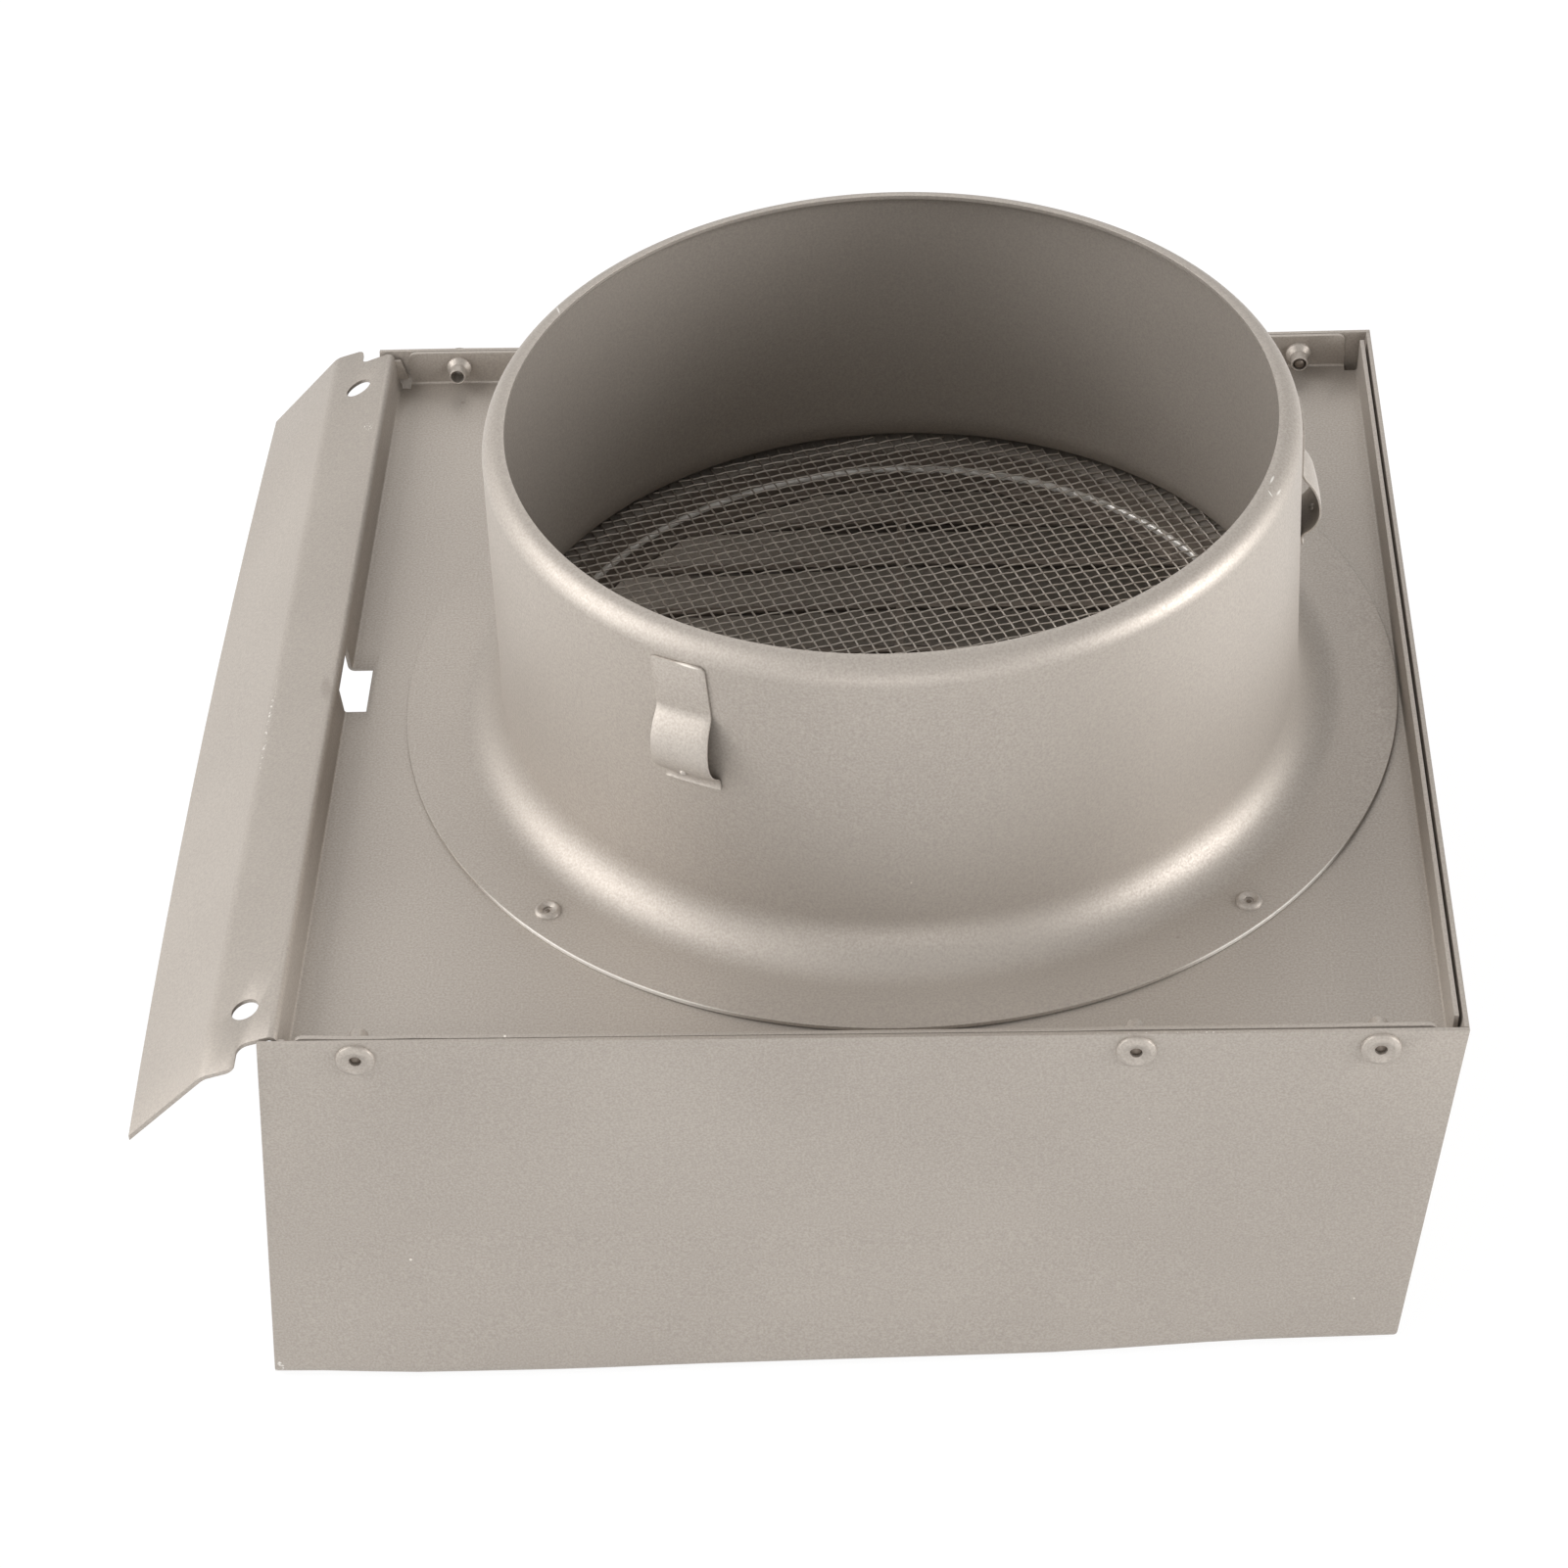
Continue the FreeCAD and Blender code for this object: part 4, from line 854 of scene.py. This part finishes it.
class VENTCAP_OT_rivets(bpy.types.Operator):
    """Spin a blind rivet and its snapped pin in both sizes, and set the copies"""

    bl_idname = "vent_cap.rivets"
    bl_label = "Rivets and pins"
    # The tail's neck is drawn in to this share of the shank
    neck_share = 0.86
    # The one that lost its pin was set a little high and askew
    empty_lift, empty_tilt = 0.3 * MM, math.radians(6)
    # Each kind's count and its sizes in millimetres, in the order of rivet's arguments
    kinds = (
        ("flange_rivet", 4, (2.5, 0.85, 1.6, 0.85, 2.2, 3.6, 2.4)),
        ("side_rivet", 6, (3.5, 1.1, 1.95, 1.05, 2.55, 4.4, 1.8)),
    )

    def rivet(self, name, head, dome, shank, bore, bulb, tail, grip):
        """A set rivet, head up: dished head, shank, bulb and open tail. Millimetres."""
        neck = self.neck_share * shank
        mouth = (neck + bore) / 2
        seat = 1.41 * mouth + bore + 0.1
        end = -grip - tail
        crest = head - 0.42 * (head - bore)
        corners = [
            (bore, 0.4 * dome, 0.12),
            (crest, dome, 0.5),
            (head - 0.12, 0.42 * dome, 0.3),
            (head, 0, 0),
            (shank, 0, 0),
            (shank, -grip, 0),
            (bulb, -grip, 0.05),
            (bulb, -grip - 0.7 * bore, 0.35),
            (neck, -grip - 0.7 * bore - 1.3 * (bulb - neck), 0.4),
            (neck, end, 0.15),
            (mouth, end, 0.12),
            (mouth, end + seat, 0.2),
            (bore, end + seat + mouth - bore, 0.1),
        ]
        points = [(x * MM, z * MM) for x, z in rounded(corners, 15.0)]
        piece = draw_outline(name, points)
        spin_outline(40)
        smooth_faces(piece, 40)
        return piece

    def pin(self, name, dome, shank, bore, tail, grip):
        """The stub of the pulling pin with its round head. Millimetres."""
        stem = bore - 0.05
        ball = (self.neck_share * shank + bore) / 2 - 0.05
        middle = bore + 0.05 - grip - tail
        top = 0.2 * dome
        corners = [
            (0, top + 0.1, 0),
            (0.5 * stem, top - 0.15, 0.1),
            (stem, top - 0.3, 0.1),
            (stem, middle + math.sqrt(ball * ball - stem * stem), 0),
        ]
        points = rounded(corners[:-1] + [(stem, -grip, 0), (0, -grip, 0)], 20.0)[:-2]
        first = math.acos(stem / ball)
        for step in range(9):
            turn = first - (first + math.pi / 2) * step / 8
            points.append((ball * math.cos(turn), middle + ball * math.sin(turn)))
        points[-1] = (0, middle - ball)
        piece = draw_outline(name, [(x * MM, z * MM) for x, z in points])
        spin_outline(28)
        self.drop_axis(piece)
        smooth_faces(piece, 40)
        return piece

    def drop_axis(self, piece):
        """Delete the loose edge that the outline's closing line leaves on the axis."""
        bpy.ops.mesh.select_all(action="DESELECT")
        bpy.ops.mesh.select_loose()
        bpy.ops.mesh.delete(type="EDGE")
        bpy.ops.mesh.select_all(action="SELECT")

    def put(self, master, node, tilt, head_at, sizes, material, slot):
        """A copy of a rivet or pin at its solid's place, moved with the sheets it holds."""
        piece = own_copy(master, "set_" + node)
        piece.rotation_euler.x = tilt
        piece.location = head_at + settled(head_at / MM, sizes)
        fix_place(piece)
        hand_over(piece, material, slot, node)

    def execute(self, context):
        sizes = context.scene.vent_cap_sizes
        steel = material_once(snapped_steel, "snapped steel pin")
        for kind, count, (head, dome, shank, bore, bulb, tail, grip) in self.kinds:
            rivet = self.rivet(kind, head, dome, shank, bore, bulb, tail, grip)
            pin = self.pin(kind + "_stub", dome, shank, bore, tail, grip)
            for number in range(1, count + 1):
                low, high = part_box("%s_%d" % (kind, number))
                at, tilt = (low + high) / 2, 0.0
                if kind == "flange_rivet":
                    at.z = COLLAR_LOW.z + sizes.gauge
                else:
                    far = at.y > 0
                    at.y = COVER_HIGH.y if far else COVER_LOW.y
                    tilt = math.radians(-90 if far else 90)
                stub = "%s_pin_%d" % (kind, number)
                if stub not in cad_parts:
                    at.z += self.empty_lift
                    tilt -= self.empty_tilt
                self.put(rivet, "%s_%d" % (kind, number), tilt, at, sizes, painted(), PAINT_SLOT)
                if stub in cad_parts:
                    self.put(pin, stub, tilt, at, sizes, steel, "pin_steel")
            bpy.data.objects.remove(rivet)
            bpy.data.objects.remove(pin)
        return {"FINISHED"}


class VENTCAP_OT_insect_screen(bpy.types.Operator):
    """Weave the insect screen's two sets of crimped wires"""

    bl_idname = "vent_cap.insect_screen"
    bl_label = "Insect screen"
    wire_sides, wave_steps = 6, 6

    def crimped_wire(self, wire, crimp, half_wave):
        """One long wire along X that goes over and under once in two half waves."""
        step = 2 * half_wave / self.wave_steps
        bpy.ops.object.select_all(action="DESELECT")
        bpy.ops.mesh.primitive_circle_add(
            vertices=self.wire_sides,
            radius=wire / 2,
            rotation=(0, math.pi / 2, 0),
            location=(0, 0, crimp),
        )
        piece = start_piece("wire")
        height = crimp
        for number in range(1, self.wave_steps + 1):
            target = crimp * math.cos(math.pi * number * step / half_wave)
            bpy.ops.mesh.extrude_region_move(
                TRANSFORM_OT_translate={"value": (step, 0, target - height)}
            )
            height = target
        fix_place(piece)
        count = int(2 * SCREEN_HIGH.x / (2 * half_wave)) + 3
        waves = piece.modifiers.new("waves", "ARRAY")
        waves.count = count
        waves.use_relative_offset = False
        waves.use_constant_offset = True
        waves.constant_offset_displace = (2 * half_wave, 0, 0)
        waves.use_merge_vertices = True
        waves.merge_threshold = wire / 100
        bpy.ops.object.modifier_apply(modifier="waves")
        piece.location.x = -2 * half_wave * (count // 2)
        fix_place(piece)
        return piece

    def layer(self, name, wire, crimp, own, other, parity):
        """All the wires of one direction, each cut off at the screen's edge.

        Own and other are the pitch and angle of its wires and of those they cross.
        """
        (pitch, angle), (other_pitch, other_angle) = own, other
        turn = other_angle - angle
        half_wave = other_pitch / abs(math.sin(turn))
        master = self.crimped_wire(wire, crimp, half_wave)
        radius = SCREEN_HIGH.x - wire
        way = 1 if math.sin(turn) > 0 else -1
        wires = []
        for number in range(-int(radius / pitch), int(radius / pitch) + 1):
            offset = number * pitch
            half_length = math.sqrt(radius * radius - offset * offset)
            phase = number + parity + offset * math.cos(turn) / other_pitch
            shift = (way * phase * half_wave) % (2 * half_wave)
            piece = own_copy(master, "strand")
            piece.location = (shift, offset, 0)
            fix_place(piece)
            bpy.ops.object.mode_set(mode="EDIT")
            for end in (-1, 1):
                bpy.ops.mesh.select_all(action="SELECT")
                bpy.ops.mesh.bisect(
                    plane_co=(end * half_length, 0, 0),
                    plane_no=(end, 0, 0),
                    use_fill=True,
                    clear_outer=True,
                )
            bpy.ops.object.mode_set(mode="OBJECT")
            wires.append(piece)
        bpy.data.objects.remove(master)
        bpy.ops.object.select_all(action="DESELECT")
        for piece in wires:
            piece.select_set(True)
        bpy.context.view_layer.objects.active = wires[0]
        bpy.ops.object.join()
        screen = bpy.context.object
        screen.name = name
        screen.data.name = name
        screen.rotation_euler.z = angle
        screen.location.z = SCREEN_LOW.z + wire
        fix_place(screen)
        bpy.ops.object.shade_smooth()
        return screen

    def execute(self, context):
        sizes = context.scene.vent_cap_sizes
        material = material_once(oversprayed_wire, "oversprayed galvanised wire")
        weft = (sizes.weft_pitch, sizes.weft_angle)
        warp = (sizes.warp_pitch, sizes.warp_angle)
        layers = (("screen_weft", weft, warp, 0), ("screen_warp", warp, weft, 1))
        for name, own, other, parity in layers:
            piece = self.layer(name, sizes.wire, sizes.crimp, own, other, parity)
            hand_over(piece, material, "galvanised_mesh", "insect_screen")
        return {"FINISHED"}


# Each lamp's name, place and power
LAMPS = (
    ("left_high_softbox", (-1.2, 0.0, 0.9), 14.0),
    ("left_low_softbox", (-1.45, -0.3, 0.25), 9.0),
    ("front_left_softbox", (-0.9, -0.9, 0.8), 2.0),
    ("front_low_softbox", (0.0, -1.5, 0.15), 5.4),
    ("right_low_softbox", (1.45, -0.3, 0.25), 27.0),
    ("back_softbox", (0.0, 1.2, 0.9), 3.0),
)
LAMP_AIM, LAMP_SIZE = Vector((0.0, 0.0, 0.0)), 0.9
AMBIENT = 0.6
# The floor's width, its distance below the cap, and its share of white to camera and gloss
FLOOR_SIZE, FLOOR_GAP, FLOOR_WHITE = 8.0, 0.05 * MM, 0.88


class VENTCAP_OT_stage(bpy.types.Operator):
    """Set up the floor, the soft lamps and the camera"""

    bl_idname = "vent_cap.stage"
    bl_label = "Stage"

    def floor(self):
        """A pale floor along the front panel, which leans 2.2 degrees, and just below it."""
        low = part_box("hood_cover")[0]
        bpy.ops.mesh.primitive_plane_add(
            size=FLOOR_SIZE,
            location=(low.x, 0, low.z - FLOOR_GAP),
            rotation=(0, -FRONT_LEAN, 0),
        )
        piece = bpy.context.object
        piece.name = "studio_floor"
        fix_place(piece)
        material, tree, output = new_material("white studio floor")
        rays = add_node(tree, "ShaderNodeLightPath")
        seen = add_node(
            tree,
            "ShaderNodeMath",
            {0: rays.outputs["Is Camera Ray"], 1: rays.outputs["Is Glossy Ray"]},
        )
        seen = add_node(
            tree,
            "ShaderNodeMath",
            {0: seen.outputs[0], 1: rays.outputs["Is Transmission Ray"]},
            use_clamp=True,
        )
        # The rest of what they see is lit paper, which keeps the shadow
        share = add_node(
            tree, "ShaderNodeMath", {0: seen.outputs[0], 1: FLOOR_WHITE}, operation="MULTIPLY"
        )
        paper = add_node(tree, "ShaderNodeBsdfDiffuse", {"Color": (0.8, 0.8, 0.8, 1)})
        white = add_node(tree, "ShaderNodeEmission", {"Color": (1, 1, 1, 1), "Strength": 1.04})
        both = add_node(
            tree,
            "ShaderNodeMixShader",
            {0: share.outputs[0], 1: paper.outputs[0], 2: white.outputs[0]},
        )
        # Seen from below it is clear, so that the front panel shows
        side = add_node(tree, "ShaderNodeNewGeometry").outputs["Backfacing"]
        clear = add_node(tree, "ShaderNodeBsdfTransparent").outputs[0]
        sided = add_node(tree, "ShaderNodeMixShader", {0: side, 1: both.outputs[0], 2: clear})
        tree.links.new(sided.outputs[0], output.inputs[0])
        dress(piece, material)

    def lamps(self):
        """Large soft lamps round the cap, all aimed at its middle."""
        for name, place, power in LAMPS:
            bpy.ops.object.light_add(type="AREA", location=place)
            lamp = bpy.context.object
            lamp.name = name
            lamp.data.shape = "SQUARE"
            lamp.data.size = LAMP_SIZE
            lamp.data.energy = power
            lamp.rotation_euler = (LAMP_AIM - Vector(place)).to_track_quat("-Z", "Y").to_euler()

    def surroundings(self, scene):
        """White where the camera or a gloss sees it, and a plain grey light elsewhere."""
        world = bpy.data.worlds.new("studio")
        world.use_nodes = True
        tree = world.node_tree
        tree.nodes.clear()
        rays = add_node(tree, "ShaderNodeLightPath")
        strength = add_node(
            tree,
            "ShaderNodeMapRange",
            {0: rays.outputs["Is Camera Ray"], 1: 0.0, 2: 1.0, 3: AMBIENT, 4: 1.0},
        )
        light = add_node(
            tree, "ShaderNodeBackground", {"Color": (1, 1, 1, 1), "Strength": strength.outputs[0]}
        )
        output = add_node(tree, "ShaderNodeOutputWorld")
        tree.links.new(light.outputs[0], output.inputs[0])
        scene.world = world

    def camera(self, scene):
        """The camera at the photograph's viewing angle."""
        view = scene.vent_cap_camera
        bpy.ops.object.camera_add(location=view.place, rotation=view.turn)
        camera = bpy.context.object
        camera.name = "studio_camera"
        camera.data.sensor_width = 36.0
        camera.data.lens = view.lens
        camera.data.shift_x, camera.data.shift_y = view.shift
        camera.data.clip_start = 0.01
        scene.camera = camera

    def execute(self, context):
        context.scene.view_settings.view_transform = "Standard"
        self.floor()
        self.lamps()
        self.surroundings(context.scene)
        self.camera(context.scene)
        return {"FINISHED"}


class VENTCAP_PT_panel(bpy.types.Panel):
    """The vent cap's sizes, colours and pieces"""

    bl_label = "Vent Cap"
    bl_space_type = "VIEW_3D"
    bl_region_type = "UI"
    bl_category = "Vent Cap"

    def draw(self, context):
        for group in ("vent_cap_sizes", "vent_cap_colours", "vent_cap_camera"):
            properties = getattr(context.scene, group)
            box = self.layout.box()
            for name in properties.bl_rna.properties.keys():
                if name not in ("rna_type", "name"):
                    box.prop(properties, name)
        for operator in OPERATORS:
            self.layout.operator(operator.bl_idname)


OPERATORS = (
    VENTCAP_OT_hood_cover,
    VENTCAP_OT_back_plate,
    VENTCAP_OT_louvre_plate,
    VENTCAP_OT_insect_screen,
    VENTCAP_OT_duct_collar,
    VENTCAP_OT_leaf_springs,
    VENTCAP_OT_rivets,
    VENTCAP_OT_stage,
)
GROUPS = (
    ("vent_cap_sizes", VentCapSizes),
    ("vent_cap_colours", VentCapColours),
    ("vent_cap_camera", VentCapCamera),
)


def register():
    for name, group in GROUPS:
        bpy.utils.register_class(group)
        setattr(bpy.types.Scene, name, bpy.props.PointerProperty(type=group))
    for cls in OPERATORS + (VENTCAP_PT_panel,):
        bpy.utils.register_class(cls)


def unregister():
    for cls in reversed(OPERATORS + (VENTCAP_PT_panel,)):
        bpy.utils.unregister_class(cls)
    for name, group in reversed(GROUPS):
        delattr(bpy.types.Scene, name)
        bpy.utils.unregister_class(group)


def main():
    register()
    bpy.ops.object.select_all(action="DESELECT")
    bpy.ops.vent_cap.hood_cover()
    bpy.ops.vent_cap.back_plate()
    bpy.ops.vent_cap.louvre_plate()
    bpy.ops.vent_cap.insect_screen()
    bpy.ops.vent_cap.duct_collar()
    bpy.ops.vent_cap.leaf_springs()
    bpy.ops.vent_cap.rivets()
    bpy.ops.vent_cap.stage()


if __name__ == "__main__":
    main()
